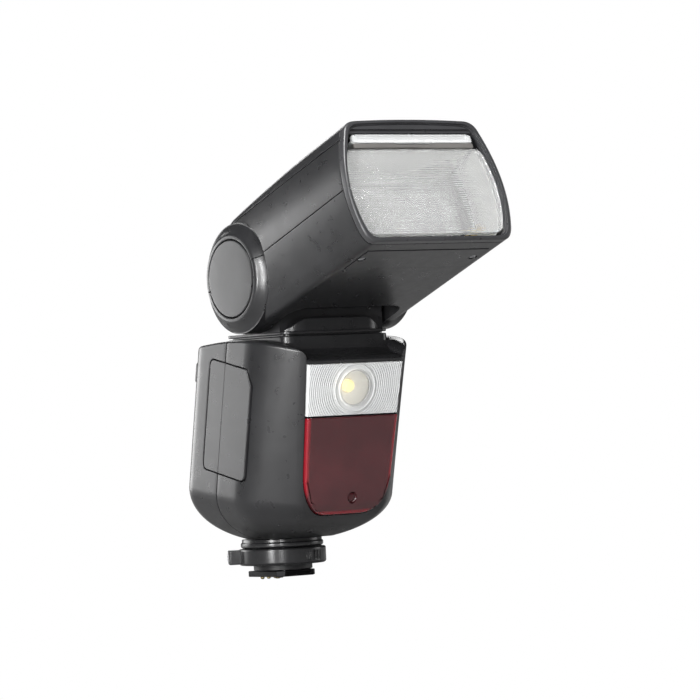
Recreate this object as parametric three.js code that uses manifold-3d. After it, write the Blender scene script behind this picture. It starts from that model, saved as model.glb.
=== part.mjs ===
// Speedlight flash, in millimetres, +Z up, front towards -Y.
// The origin is the centre of the foot plate's bottom face.
import * as THREE from 'three';
import { mergeVertices } from 'three/addons/utils/BufferGeometryUtils.js';
import Module from 'manifold-3d';

const wasm = await Module();
wasm.setup();

// ---------- driving dimensions ----------
const GAP = 0.3;                             // clearance between neighbouring pieces
const WALL = 2;                              // moulded wall thickness
const FAR = 200;                             // reach of cutting tools
const LEAN = THREE.MathUtils.degToRad(12);   // forward lean of the body
const TILT = THREE.MathUtils.degToRad(20);   // tilt of the head at rest

const FOOT = { halfWidth: 9.3, halfDepth: 11, thick: 2.3, notch: 2.6 };
const SPACER = { radius: 11.6, top: 4.4 };
const RING = { radius: 17.2, bore: 12.2, bottom: 4.7, top: 11.2 };
const COLLAR = { radius: 16.3, bottom: 11.5, top: 14.9 };
const PIN = { radius: 0.8, drop: 1.2 };
const LOCK_PIN = [-4.8, -7.6];
const CONTACTS = [[0, 4, 1.2], [-4.6, 8, 0.8], [-1.6, 8, 0.8], [1.6, 8, 0.8], [4.6, 8, 0.8]];
const TAB = { angle: THREE.MathUtils.degToRad(150), reach: 21.4, half: 3.4 };

const BODY = {
  halfWidth: 35.5, front: 33, rear: 29.9, flatFront: 22.9, cornerDepth: 19, rearCorner: 9,
  bottom: 15.2, roundTop: 34, top: 94, midY: -19.4, midZ: 67, roof: 86.7,
  taper: 0.0022,                             // share by which the front narrows per mm downward
  bowlTilt: 0.15,                            // rise of the bottom's rounding towards the rear
};
const BASE_ANGLE = THREE.MathUtils.degToRad(65);   // how far the bottom's rounding turns
const SEAM = 4;                              // case seam, behind the middle line
const PANEL = { halfWidth: 22.3, top: 81.9, split: 61.9, bottom: 24, corner: 12, rise: 1.35 };
const LAMP = { z: 72.6, lens: 7, dome: 11.2, chip: 2.3, seat: 4.4, bowl: 8.2, bowlDepth: 2.4 };

const BATTERY = { y: -18.3, z: 62.4, depth: 28.2, height: 43.4, chamfer: 6, length: 62 };
const CAPACITOR = { radius: 8.5, length: 44, z: 28.9 };

const DECK = { rear: -45, riser: -43, ceiling: 82.9 };   // the slope in front of the neck
const NECK = { halfWidth: 24.8, halfDepth: 21, corner: 4, y: -24.3, bottom: 89, top: 93.4 };
const SWIVEL = { radius: 13.9, collar: 17, collarBottom: 89.5, collarTop: 90.9 };
const FLANGE = { bottom: 94, top: 95.2 };
const SADDLE = { halfWidth: 24.3, halfDepth: 18, corner: 10, y: -26.8, top: 100.4, fall: 11 };
const PIVOT = { y: -29, z: 116.5 };
const DRUM = { radius: 17.6, halfWidth: 24.6 };
const AXLE = 4;
const EAR = { inner: 25.2, outer: 36.3, radius: 21.4 };
const CAP = { radius: 14.8, face: 38 };

const HEAD = {
  length: 83.5, bulge: 39.6, topHalf: 30.3, bottomHalf: 33.6, flare: 1.3,
  top: 28.4, rearTop: 26.1, levelFrom: 45,   // the top is level from here to the front
  bottom: 21, topCorner: 5, bottomCorner: 6, crown: 0.6,
  rearWall: 19, rear: 6.5, rearFall: 0.13,   // the rounding behind the pivot
  bezel: 3.2, frame: 1.9, seam: 1.1,
};
const SEAM_TOP = { rear: 23.4, front: 21.2 };   // line where the top cover meets the upper shell
const CARD_SLOT = 19.3;                      // height of the slot between the panel and the card
const SLOPE = Math.atan2(HEAD.top - HEAD.rearTop, HEAD.length);   // fall of the slot to the rear
const SHEET = { halfWidth: 25.2, lipHalf: 27.8, front: 1.1, lipDepth: 1.5 };
const THUMB = { radius: 24.9, depth: 1.8 };   // notch in the middle of the card's edge
const LENS = { top: 17, bottom: -17.3, thick: 2.2, recess: 2.1 };
const CARRIAGE = { front: 62, rear: 40, halfWidth: 28.6, half: 12.6, rodX: 24, rodZ: -14.3, rod: 1.3 };
const OPENING = { halfWidth: 26.2, front: -19.8, corner: 8 };   // under the head, for the neck
const BOTTOM_PANEL = { halfWidth: 28, from: 58, to: 74.4, step: 0.9, screwX: 26, screwY: -66.7 };

// Rear controls: positions in the rear frame, x to the right and z up.
const REAR_Z = 60;                           // height of the rear frame's origin
const KEY = { height: 1.1, foot: -3.6 };
const DISPLAY = { halfWidth: 20.5, halfHeight: 14, z: 12 };
const FUNCTION_KEYS = [-15.6, -5.2, 5.2, 15.6].map((x) => ({ x, z: -7.4 }));
const DIAL = { z: -24, outer: 11, inner: 6.6, stand: 1.8 };
const SIDE_KEYS = { mode_key: [-21, -19], menu_key: [21, -19] };
const TEST_KEY = { x: -21, z: -30.5 };
const SWITCH = { x: 21, z: -30.5 };
const RELEASE = { x: -29.2, z: 22 };
const PORT = { y: 14, z: -18, halfDepth: 5.5, halfHeight: 9 };   // in the battery's frame

// ---------- materials ----------
function paint(color, roughness, metalness = 0) {
  return new THREE.MeshStandardMaterial({ color, roughness, metalness });
}
const charcoal = paint(0x2c2c2e, 0.5);
const darkPlastic = paint(0x18181a, 0.55);
const satinBlack = paint(0x242426, 0.3);
const steel = paint(0xa9abae, 0.35, 0.9);
const clear = paint(0xe6eaec, 0.08);
const redClear = paint(0x5a1f24, 0.15);
const board = paint(0x1c4a30, 0.6);
const mirror = paint(0xd9dadc, 0.12, 0.95);
const lampYellow = paint(0xe8b84a, 0.4);
const paleGrey = paint(0x8e9092, 0.45);
const rubber = paint(0x161616, 0.9);
const white = paint(0xe9e9e6, 0.6);
const brass = paint(0xc9a35a, 0.3, 0.9);

// ---------- solids from three.js geometry ----------
function solid(geometry) {
  const bare = geometry.clone();
  bare.deleteAttribute('normal');
  bare.deleteAttribute('uv');
  const merged = mergeVertices(bare, 1e-4);
  const vertProperties = Float32Array.from(merged.attributes.position.array);
  const triVerts = Uint32Array.from(merged.index.array);
  return new wasm.Manifold(new wasm.Mesh({ numProp: 3, vertProperties, triVerts }));
}

function geometryOf(manifold) {
  const mesh = manifold.getMesh();
  const geometry = new THREE.BufferGeometry();
  geometry.setAttribute('position', new THREE.BufferAttribute(mesh.vertProperties, 3));
  geometry.setIndex(new THREE.BufferAttribute(mesh.triVerts, 1));
  geometry.computeVertexNormals();
  return geometry;
}

function block(low, high) {
  const size = high.map((value, i) => value - low[i]);
  const geometry = new THREE.BoxGeometry(...size);
  return solid(geometry.translate(...low.map((value, i) => value + size[i] / 2)));
}

// A round bar along 'x', 'y' or 'z' from a to b; centre holds the other two coordinates.
function rod(axis, radius, a, b, centre = [0, 0], segments = 24) {
  const geometry = new THREE.CylinderGeometry(radius, radius, b - a, segments);
  const middle = (a + b) / 2;
  if (axis === 'x') geometry.rotateZ(-Math.PI / 2).translate(middle, ...centre);
  if (axis === 'y') geometry.translate(centre[0], middle, centre[1]);
  if (axis === 'z') geometry.rotateX(Math.PI / 2).translate(...centre, middle);
  return solid(geometry);
}

// A flat outline pushed along an axis: (y, z) outlines along x, (x, z) along y, (x, y) along z.
function prism(axis, shape, a, b, curveSegments = 3) {
  const settings = { depth: b - a, bevelEnabled: false, curveSegments };
  const geometry = new THREE.ExtrudeGeometry(shape, settings);
  if (axis === 'x') geometry.rotateX(Math.PI / 2).rotateZ(Math.PI / 2).translate(a, 0, 0);
  if (axis === 'y') geometry.rotateX(Math.PI / 2).translate(0, b, 0);
  if (axis === 'z') geometry.translate(0, 0, a);
  return solid(geometry);
}

function lathe(points, segments = 32) {
  const geometry = new THREE.LatheGeometry(points.map((p) => new THREE.Vector2(...p)), segments);
  return solid(geometry.rotateX(Math.PI / 2));
}

function ring(outer, inner, a, b, segments = 32) {
  return lathe([[inner, a], [outer, a], [outer, b], [inner, b], [inner, a]], segments);
}

function polygon(points) {
  return new THREE.Shape(points.map((p) => new THREE.Vector2(...p)));
}

function roundedRect(halfWidth, halfHeight, radius, x = 0, y = 0) {
  const shape = new THREE.Shape();
  const right = x + halfWidth - radius;
  const left = x - halfWidth + radius;
  const top = y + halfHeight - radius;
  const bottom = y - halfHeight + radius;
  shape.absarc(right, top, radius, 0, Math.PI / 2);
  shape.absarc(left, top, radius, Math.PI / 2, Math.PI);
  shape.absarc(left, bottom, radius, Math.PI, 1.5 * Math.PI);
  shape.absarc(right, bottom, radius, 1.5 * Math.PI, 2 * Math.PI);
  return shape;
}

function reshape(geometry, move) {
  const position = geometry.attributes.position;
  const point = new THREE.Vector3();
  for (let i = 0; i < position.count; i++) {
    move(point.fromBufferAttribute(position, i));
    position.setXYZ(i, point.x, point.y, point.z);
  }
  return geometry;
}

function placed(manifold, matrix) {
  return solid(geometryOf(manifold).applyMatrix4(matrix));
}

function piece(name, manifold, material, group) {
  const mesh = new THREE.Mesh(geometryOf(manifold), material.clone());
  mesh.name = name;
  group.add(mesh);
  return mesh;
}

// ---------- frames ----------
const ascending = (a, b) => a - b;
const middleY = (z) => BODY.midY - Math.tan(LEAN) * (z - BODY.midZ);

function leaningFrame(y, z) {
  return new THREE.Matrix4().makeRotationX(LEAN).setPosition(0, y, z);
}
const rearFrame = leaningFrame(middleY(REAR_Z) + BODY.rear, REAR_Z);
const frontFrame = leaningFrame(middleY(LAMP.z) - BODY.front, LAMP.z);
const batteryFrame = leaningFrame(BATTERY.y, BATTERY.z);

function groupAt(matrix, parent) {
  const group = new THREE.Group();
  matrix.decompose(group.position, group.quaternion, group.scale);
  parent.add(group);
  return group;
}

// ---------- body form ----------
function bodyOutline(inset) {
  const side = BODY.halfWidth - inset;
  const front = -BODY.front + inset;
  const rear = BODY.rear - inset;
  const flat = BODY.flatFront - inset / 2;
  const start = front + BODY.cornerDepth;
  const bend = [side - 5, front + 7.5];
  const corner = BODY.rearCorner - Math.min(inset, 4);
  const shape = new THREE.Shape();
  shape.moveTo(-flat, front);
  shape.lineTo(flat, front);
  shape.quadraticCurveTo(bend[0], bend[1], side, start);
  shape.absarc(side - corner, rear - corner, corner, 0, Math.PI / 2);
  shape.absarc(-side + corner, rear - corner, corner, Math.PI / 2, Math.PI);
  shape.lineTo(-side, start);
  shape.quadraticCurveTo(-bend[0], bend[1], -flat, front);
  return shape;
}

// The share by which the front and its panels are narrower at a height than at their top.
const narrowing = (z) => BODY.taper * (PANEL.top - z);

// The leaning case volume, drawn in by inset; its bottom turns in like a bowl.
function bodyForm(inset, top) {
  const roundSteps = 6;
  const steps = roundSteps + 1;
  const bottom = BODY.bottom + inset;
  const settings = { depth: steps, steps, bevelEnabled: false, curveSegments: 5 };
  const geometry = new THREE.ExtrudeGeometry(bodyOutline(inset), settings);
  reshape(geometry, (p) => {
    const step = Math.round(p.z);
    const angle = BASE_ANGLE * Math.max(0, 1 - step / roundSteps);
    const share = 1 - Math.sin(angle) / Math.sin(BASE_ANGLE);
    const forward = THREE.MathUtils.clamp((BODY.cornerDepth - BODY.front - p.y) / BODY.cornerDepth, 0, 1);
    p.z = bottom + (BODY.roundTop - bottom + BODY.bowlTilt * p.y) * share;
    if (step > roundSteps) p.z = top;
    p.x *= Math.cos(angle) * (1 - forward * narrowing(p.z));
    p.y = p.y * Math.cos(angle) + middleY(p.z);
  });
  return solid(geometry);
}

// Everything in front of (or behind) the leaning plane that lies offset behind the middle line.
function leaningHalf(offset, side) {
  const geometry = new THREE.BoxGeometry(FAR, FAR, FAR).translate(0, side * FAR / 2 + offset, 0);
  return solid(reshape(geometry, (p) => { p.y += middleY(p.z); }));
}

// The side view of the case's crowned top, which falls to the front over the cheeks.
function cheekProfile() {
  const shape = new THREE.Shape();
  shape.moveTo(FAR / 2, 0);
  shape.lineTo(FAR / 2, 90);
  shape.lineTo(8, 90.2);
  shape.quadraticCurveTo(4, 91.6, -8, 92.3);
  shape.quadraticCurveTo(-34, 94.4, -52.8, 88.6);
  shape.quadraticCurveTo(-57.4, 87, -57.8, 81);
  shape.lineTo(-FAR / 2, 81);
  shape.lineTo(-FAR / 2, 0);
  return shape;
}

// The hollow of the deck between the cheeks: it slopes from the neck to a rounded lip.
function deckHollow() {
  const shape = new THREE.Shape();
  shape.moveTo(DECK.rear, 104);
  shape.lineTo(DECK.rear, 88.7);
  shape.quadraticCurveTo(-47.5, 85.6, -52.5, 84.9);
  shape.quadraticCurveTo(-55.9, 84.6, -56.3, 82);
  shape.lineTo(-70, 81.6);
  shape.lineTo(-70, 104);
  return prism('x', shape, -PANEL.halfWidth - GAP, PANEL.halfWidth + GAP);
}

// The inside of the case, which is lower under the deck.
function caseHollow() {
  const underDeck = block([-40, -80, DECK.ceiling], [40, DECK.riser, 100]);
  return bodyForm(WALL, BODY.roof).subtract(underDeck);
}

// The window and red panel lie in one outline: straight at the top, round at the bottom.
function panelOutline(low, high, grow, corner) {
  const halfAt = (z) => (PANEL.halfWidth + grow) * (1 - narrowing(z));
  const top = high + grow;
  const bottom = low - grow;
  const side = bottom + corner * PANEL.rise;
  const shape = new THREE.Shape();
  shape.moveTo(-halfAt(top), top);
  shape.lineTo(-halfAt(side), side);
  shape.quadraticCurveTo(-halfAt(bottom), bottom, -halfAt(bottom) + corner, bottom);
  shape.lineTo(halfAt(bottom) - corner, bottom);
  shape.quadraticCurveTo(halfAt(bottom), bottom, halfAt(side), side);
  shape.lineTo(halfAt(top), top);
  return prism('y', shape, -FAR / 2, middleY(PANEL.split), 5);
}

function neckOutline(shrink) {
  return roundedRect(NECK.halfWidth - shrink, NECK.halfDepth - shrink, NECK.corner - shrink, 0, NECK.y);
}

function batteryOutline(grow) {
  const y = BATTERY.depth / 2 + grow;
  const z = BATTERY.height / 2 + grow;
  const cut = BATTERY.chamfer;
  const round = 3;
  const shape = new THREE.Shape();
  shape.moveTo(-y + cut * 0.6, z);
  shape.lineTo(y - round, z);
  shape.quadraticCurveTo(y, z, y, z - round);
  shape.lineTo(y, -z + round);
  shape.quadraticCurveTo(y, -z, y - round, -z);
  shape.lineTo(-y + round, -z);
  shape.quadraticCurveTo(-y, -z, -y, -z + round);
  shape.lineTo(-y, z - cut);
  return shape;
}

// ---------- rear openings ----------
function keyShape(width, height, x, z) {
  return roundedRect(width / 2, height / 2, Math.min(width, height) * 0.35, x, z);
}

function rearOpenings() {
  const deep = [-6, 2];
  const holes = [
    prism('y', roundedRect(DISPLAY.halfWidth + GAP, DISPLAY.halfHeight + GAP, 1.5, 0, DISPLAY.z), ...deep),
    rod('y', DIAL.outer + GAP, ...deep, [0, DIAL.z], 32),
    prism('y', keyShape(7.6, 7.6, TEST_KEY.x, TEST_KEY.z), ...deep),
    prism('y', keyShape(4.6, 9.6, SWITCH.x, SWITCH.z), ...deep),
    prism('y', keyShape(5.6, 9.6, RELEASE.x, RELEASE.z), ...deep),
  ];
  for (const key of FUNCTION_KEYS) holes.push(prism('y', keyShape(8.6, 4.6, key.x, key.z), ...deep));
  for (const [x, z] of Object.values(SIDE_KEYS)) holes.push(prism('y', keyShape(7.6, 4.6, x, z), ...deep));
  return holes.map((hole) => placed(hole, rearFrame));
}

function portOpening(grow) {
  const shape = roundedRect(PORT.halfDepth + grow, PORT.halfHeight + grow, 2, PORT.y, PORT.z);
  return placed(prism('x', shape, BODY.halfWidth - 4, BODY.halfWidth + 4), batteryFrame);
}

// ---------- body cases ----------
function caseShell() {
  const top = prism('x', cheekProfile(), -FAR / 2, FAR / 2, 8);
  let shell = bodyForm(0, BODY.top + 2).intersect(top).subtract(caseHollow());
  shell = shell.subtract(prism('z', neckOutline(-GAP), NECK.bottom - GAP, 100, 6));
  shell = shell.subtract(rod('z', 8, 80, 100, [0, NECK.y]));
  shell = shell.subtract(rod('z', 7, 10, 20, [0, -2]));
  return shell.subtract(deckHollow());
}

function frontCase(shell) {
  const rebate = panelOutline(PANEL.bottom, PANEL.top, GAP, PANEL.corner)
    .subtract(bodyForm(1.5, BODY.top));
  const lampHole = block([-19, -70, PANEL.split + 1.6], [19, middleY(70), PANEL.top - 1.6]);
  const redHole = block([-17, -70, PANEL.bottom + 8], [17, middleY(40) - 10, PANEL.split - 1.6]);
  let body = shell.intersect(leaningHalf(SEAM - GAP / 2, -1)).subtract(rebate);
  body = body.subtract(lampHole).subtract(redHole);
  return body.subtract(placed(prism('x', batteryOutline(GAP), -40, -25), batteryFrame));
}

function rearCase(shell) {
  let body = shell.intersect(leaningHalf(SEAM + GAP / 2, 1));
  for (const hole of rearOpenings()) body = body.subtract(hole);
  body = body.subtract(placed(prism('x', batteryOutline(GAP), -40, -25), batteryFrame));
  return body.subtract(portOpening(GAP));
}

function panelPiece(low, high, corner, proud) {
  const skin = bodyForm(-proud, BODY.top).subtract(bodyForm(1.2, BODY.top + 1));
  return skin.intersect(panelOutline(low, high, 0, corner));
}

function ledWindow() {
  const dome = solid(new THREE.SphereGeometry(LAMP.dome, 32, 24).translate(0, LAMP.dome - 2.2, 0));
  const cap = placed(dome.intersect(rod('y', LAMP.lens, -4, 0, [0, 0], 32)), frontFrame);
  return panelPiece(PANEL.split + 0.4, PANEL.top, 0.4, 0.8).add(cap);
}

function redPanel() {
  return panelPiece(PANEL.bottom, PANEL.split - 0.4, PANEL.corner, 1.3);
}

function ledBowl() {
  const { bowl, bowlDepth: depth, chip } = LAMP;
  const profile = [[chip + 0.6, 0], [chip + 1.3, 0], [bowl, depth - 0.6], [bowl, depth], [bowl - 0.6, depth]];
  return lathe([...profile, profile[0]], 28);
}

function addLamp(parent) {
  const group = groupAt(frontFrame, parent);
  const bowl = piece('led_bowl', ledBowl(), mirror, group);
  bowl.position.y = LAMP.seat;
  bowl.rotation.x = Math.PI / 2;
  piece('led_board', block([-14, LAMP.seat + 0.8, -8], [14, LAMP.seat + 2.2, 8]), board, group);
  piece('led_chip', rod('y', LAMP.chip, LAMP.seat - 0.8, LAMP.seat + 0.5, [0, 0], 20), lampYellow, group);
  const lamp = rod('y', 4, 4.5, 11, [0, -35], 20).add(block([-8, 9, -40], [8, 10.4, -20]));
  piece('assist_lamp', lamp, redClear, group);
  piece('wireless_sensor', rod('y', 1.8, 3.2, 7.6, [0, -43.5], 16), darkPlastic, group);
}

// ---------- rear controls ----------
function addRearControls(parent) {
  const group = groupAt(rearFrame, parent);
  const windowShape = roundedRect(DISPLAY.halfWidth, DISPLAY.halfHeight, 1.3, 0, DISPLAY.z);
  piece('display_window', prism('y', windowShape, -1.4, -0.2), clear, group);
  const screen = [DISPLAY.halfWidth - 1, DISPLAY.halfHeight - 1];
  piece('display', block([-screen[0], -4.4, DISPLAY.z - screen[1]], [screen[0], -1.8, DISPLAY.z + screen[1]]),
    paleGrey, group);
  FUNCTION_KEYS.forEach((key, i) => {
    const shape = keyShape(8, 4, key.x, key.z);
    piece(`function_key_${i + 1}`, prism('y', shape, KEY.foot, KEY.height), satinBlack, group);
  });
  for (const [name, [x, z]] of Object.entries(SIDE_KEYS)) {
    piece(name, prism('y', keyShape(7, 4, x, z), KEY.foot, KEY.height), satinBlack, group);
  }
  piece('test_key', prism('y', keyShape(7, 7, TEST_KEY.x, TEST_KEY.z), KEY.foot, KEY.height), redClear, group);
  piece('power_switch', powerSwitch(), satinBlack, group);
  piece('battery_release', prism('y', keyShape(5, 9, RELEASE.x, RELEASE.z), -2.6, 0.6), darkPlastic, group);
  piece('control_dial', controlDial(), satinBlack, group);
  piece('set_key', rod('y', DIAL.inner - GAP, -3.6, DIAL.stand - 0.5, [0, DIAL.z], 28), darkPlastic, group);
  piece('main_board', mainBoard(), board, group);
}

function controlDial() {
  const dial = ring(DIAL.outer, DIAL.inner, -3.6, DIAL.stand, 32);
  let knob = placed(dial, new THREE.Matrix4().makeRotationX(-Math.PI / 2).setPosition(0, 0, DIAL.z));
  const notches = 16;
  for (let i = 0; i < notches; i++) {
    const angle = 2 * Math.PI * i / notches;
    const centre = [DIAL.outer * Math.cos(angle), DIAL.z + DIAL.outer * Math.sin(angle)];
    knob = knob.subtract(rod('y', 0.6, 0.3, DIAL.stand + 1, centre, 6));
  }
  return knob;
}

function powerSwitch() {
  const base = prism('y', keyShape(4, 5.6, SWITCH.x, SWITCH.z + 1.6), -3, 0.9);
  return base.add(block([SWITCH.x - 1.4, 0.8, SWITCH.z + 1.1], [SWITCH.x + 1.4, 1.5, SWITCH.z + 2.1]));
}

function mainBoard() {
  let plate = block([-30, -6.8, -27], [30, -5.2, 26]);
  const parts = [[-22, 6, 8, 5], [4, -4, 9, 9], [18, -22, 6, 10], [-8, -25, 12, 5]];
  for (const [x, z, width, height] of parts) {
    plate = plate.add(block([x, -8.6, z], [x + width, -6.7, z + height]));
  }
  return plate;
}

// ---------- battery ----------
function battery() {
  const face = prism('x', batteryOutline(0), -BODY.halfWidth, -BODY.halfWidth + 2.2);
  const start = -BODY.halfWidth + 2;
  return face.add(prism('x', batteryOutline(-1.8), start, start + BATTERY.length));
}

function batterySleeve() {
  const y = BATTERY.depth / 2 - 1.5;
  const z = BATTERY.height / 2 - 1.5;
  const x = [-BODY.halfWidth + 3, -BODY.halfWidth + BATTERY.length + 3.6];
  const outer = block([x[0], -y - 1.1, -z - 1.1], [x[1], y + 1.1, z - 1]);
  const inner = block([x[0] - 1, -y, -z], [x[1] - 1.2, y, z + 1]);
  return outer.subtract(inner).subtract(block([x[1] - 2, -8, -10], [x[1] + 1, 8, -2]));
}

function batteryContacts() {
  const x = -BODY.halfWidth + BATTERY.length + 2.3;
  let part = block([x + 0.9, -7.4, -9.4], [x + 2.2, 7.4, -2.6]);
  for (const y of [-5, 0, 5]) part = part.add(block([x + 0.1, y - 0.8, -8], [x + 1, y + 0.8, -4]));
  return part;
}

function addBattery(parent) {
  const group = groupAt(batteryFrame, parent);
  piece('battery', battery(), charcoal, group);
  piece('battery_sleeve', batterySleeve(), darkPlastic, group);
  piece('battery_contacts', batteryContacts(), brass, group);
  piece('port_cover', portCover(), rubber, group);
}

function portCover() {
  const shape = roundedRect(PORT.halfDepth, PORT.halfHeight, 1.8, PORT.y, PORT.z);
  return prism('x', shape, BODY.halfWidth - 1.6, BODY.halfWidth + 0.4);
}

function mainCapacitor() {
  const half = CAPACITOR.length / 2;
  const y = middleY(CAPACITOR.z);
  const can = rod('x', CAPACITOR.radius, -half, half, [y, CAPACITOR.z], 28);
  return can.subtract(rod('x', 6.8, half - 0.6, half + 1, [y, CAPACITOR.z], 28));
}

// ---------- foot ----------
function footPlate() {
  const { halfWidth: w, halfDepth: d, notch: n, thick } = FOOT;
  const outline = polygon([[-w + n, -d], [w - n, -d], [w, -d + n], [w, d], [-w, d], [-w, -d + n]]);
  let plate = prism('z', outline, 0, thick);
  plate = plate.subtract(block([-w + n + 1, -d - 1, 0.8], [w - n - 1, -d + 0.7, 1.6]));
  plate = plate.subtract(rod('z', PIN.radius + GAP, -1, 4, LOCK_PIN, 16));
  plate = plate.subtract(block([-6.4, 1.9, 0.5], [6.4, 10, 4]));
  for (const [x, y, radius] of CONTACTS) {
    plate = plate.subtract(rod('z', radius + GAP, -1, 1, [x, y], 16));
  }
  return plate;
}

function footContacts() {
  let carrier = block([-5.8, 2.3, 0.9], [5.8, 9.6, 1.9]);
  for (const [x, y, radius] of CONTACTS) carrier = carrier.add(rod('z', radius, -PIN.drop, 1.2, [x, y], 16));
  return carrier;
}

function footSpacer() {
  const body = rod('z', SPACER.radius, FOOT.thick + 0.15, SPACER.top, [0, 0], 32);
  const stem = rod('z', RING.bore - 0.5, SPACER.top - 0.5, COLLAR.bottom - 0.2, [0, 0], 32);
  return body.add(stem).subtract(rod('z', PIN.radius + GAP, 0, 14, LOCK_PIN, 16));
}

function collar() {
  const { radius, bottom, top } = COLLAR;
  const profile = [[0, bottom], [radius - 0.6, bottom], [radius, bottom + 0.6], [radius, top - 0.8]];
  return lathe([...profile, [radius - 0.8, top], [0, top]], 36)
    .subtract(rod('z', PIN.radius + 1.2, 10, 13.6, LOCK_PIN, 16));
}

function lockRing() {
  const { radius, bore, bottom, top } = RING;
  const profile = [[bore, bottom], [radius - 1, bottom], [radius, bottom + 1], [radius, top - 0.7]];
  const band = lathe([...profile, [radius - 0.7, top], [bore, top], [bore, bottom]], 40);
  const tab = block([radius - 2, -TAB.half, bottom + 0.6], [TAB.reach, TAB.half, top - 0.3])
    .subtract(block([radius + 0.6, -TAB.half + 1, bottom + 1.4], [TAB.reach + 1, TAB.half - 1, top - 1.4]));
  return band.add(placed(tab, new THREE.Matrix4().makeRotationZ(TAB.angle)));
}

function lockButton() {
  const { radius, bottom, top } = RING;
  const low = [radius + 1.6, -TAB.half + 1 + GAP, bottom + 1.4 + GAP];
  const high = [TAB.reach + 0.3, TAB.half - 1 - GAP, top - 1.4 - GAP];
  return placed(block(low, high), new THREE.Matrix4().makeRotationZ(TAB.angle));
}

function addFoot(parent) {
  piece('foot_plate', footPlate(), steel, parent);
  piece('foot_contacts', footContacts(), brass, parent);
  piece('foot_spacer', footSpacer(), darkPlastic, parent);
  piece('lock_ring', lockRing(), satinBlack, parent);
  piece('lock_button', lockButton(), paleGrey, parent);
  piece('locking_pin', rod('z', PIN.radius, 0.3, 13, LOCK_PIN, 16), steel, parent);
  piece('foot_collar', collar(), darkPlastic, parent);
}

// ---------- neck ----------
function neckBase() {
  const plate = prism('z', neckOutline(0), NECK.bottom, NECK.top, 6);
  const ceiling = SWIVEL.collarTop + GAP;
  return plate.subtract(rod('z', SWIVEL.radius + GAP, 80, 100, [0, NECK.y], 36))
    .subtract(rod('z', SWIVEL.collar + GAP, 80, ceiling, [0, NECK.y], 36));
}

function swivelRetainer() {
  const { radius, collar: outer, collarBottom, collarTop } = SWIVEL;
  return ring(outer, radius + GAP, collarBottom, collarTop, 36).translate([0, NECK.y, 0]);
}

// The low block under the drum; its top falls towards both sides.
function saddle() {
  const { halfWidth, halfDepth, corner, y, top, fall } = SADDLE;
  const plan = prism('z', roundedRect(halfWidth, halfDepth, corner, 0, y), FLANGE.bottom + 0.4, top, 6);
  const edge = FLANGE.top + 0.6;
  const right = [[halfWidth, FLANGE.bottom], [halfWidth, edge], [halfWidth - fall, top]];
  const left = right.map(([x, z]) => [-x, z]).reverse();
  const face = polygon([...right, ...left]);
  return plan.intersect(prism('y', face, -80, 20));
}

function yoke() {
  const flange = prism('z', neckOutline(0), FLANGE.bottom, FLANGE.top, 6);
  const tube = rod('z', SWIVEL.radius, SWIVEL.collarBottom, FLANGE.bottom + 0.2, [0, NECK.y], 36);
  const low = [-DRUM.halfWidth, PIVOT.y - 12, FLANGE.top - 0.2];
  const pedestal = block(low, [DRUM.halfWidth, PIVOT.y + 12, PIVOT.z]);
  const drum = rod('x', DRUM.radius, -DRUM.halfWidth, DRUM.halfWidth, [PIVOT.y, PIVOT.z], 40);
  const bore = rod('x', AXLE + GAP, -40, 40, [PIVOT.y, PIVOT.z], 24);
  const duct = rod('z', 6, 80, PIVOT.z - 6, [0, NECK.y]);
  return flange.add(tube).add(saddle()).add(pedestal).add(drum).subtract(bore).subtract(duct);
}

function addNeck(parent) {
  piece('neck_base', neckBase(), charcoal, parent);
  piece('swivel_retainer', swivelRetainer(), steel, parent);
  piece('yoke', yoke(), charcoal, parent);
}

// ---------- head: front towards -Y, axis of tilt through the origin ----------
function headSection(inset) {
  const { bulge, flare, crown } = HEAD;
  const t = HEAD.top - inset;
  const b = -HEAD.bottom + inset;
  const side = bulge - inset;
  const high = HEAD.topHalf - inset;
  const low = HEAD.bottomHalf - inset;
  const under = HEAD.bottomCorner * 0.7;
  const shape = new THREE.Shape();
  shape.moveTo(-low + under, b);
  shape.lineTo(low - under, b);
  shape.quadraticCurveTo(low, b, low + flare, b + HEAD.bottomCorner);
  shape.quadraticCurveTo(side, 3, high + flare, t - HEAD.topCorner);
  shape.quadraticCurveTo(high, t - crown, high - HEAD.topCorner, t - crown / 2);
  shape.quadraticCurveTo(0, t + crown * 1.5, -high + HEAD.topCorner, t - crown / 2);
  shape.quadraticCurveTo(-high, t - crown, -high - flare, t - HEAD.topCorner);
  shape.quadraticCurveTo(-side, 3, -low - flare, b + HEAD.bottomCorner);
  shape.quadraticCurveTo(-low, b, -low + under, b);
  return shape;
}

// The head's volume from one distance to another in front of the pivot.
function headForm(inset, from, to) {
  const steps = to < HEAD.levelFrom ? 4 : 8;
  const settings = { depth: to - from, steps, bevelEnabled: false, curveSegments: 5 };
  const geometry = new THREE.ExtrudeGeometry(headSection(inset), settings);
  reshape(geometry, (p) => {
    const distance = p.z + from;
    const share = THREE.MathUtils.clamp(distance / HEAD.levelFrom, 0, 1);
    const fall = distance < 0 ? HEAD.rearFall * distance * distance : 0;
    const top = THREE.MathUtils.lerp(HEAD.rearTop, HEAD.top, share) - fall;
    p.y *= p.y > 0 ? top / HEAD.top : (HEAD.bottom - fall) / HEAD.bottom;
    p.z = distance;
  });
  return solid(geometry.rotateX(Math.PI / 2));
}

// Everything above a plane whose height is given at the pivot and at the front of the head.
function aboveLine(rear, front, drop = 0) {
  const shape = polygon([[40, rear - drop], [-HEAD.length - 10, front - drop],
    [-HEAD.length - 10, 60], [40, 60]]);
  return prism('x', shape, -60, 60);
}

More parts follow.
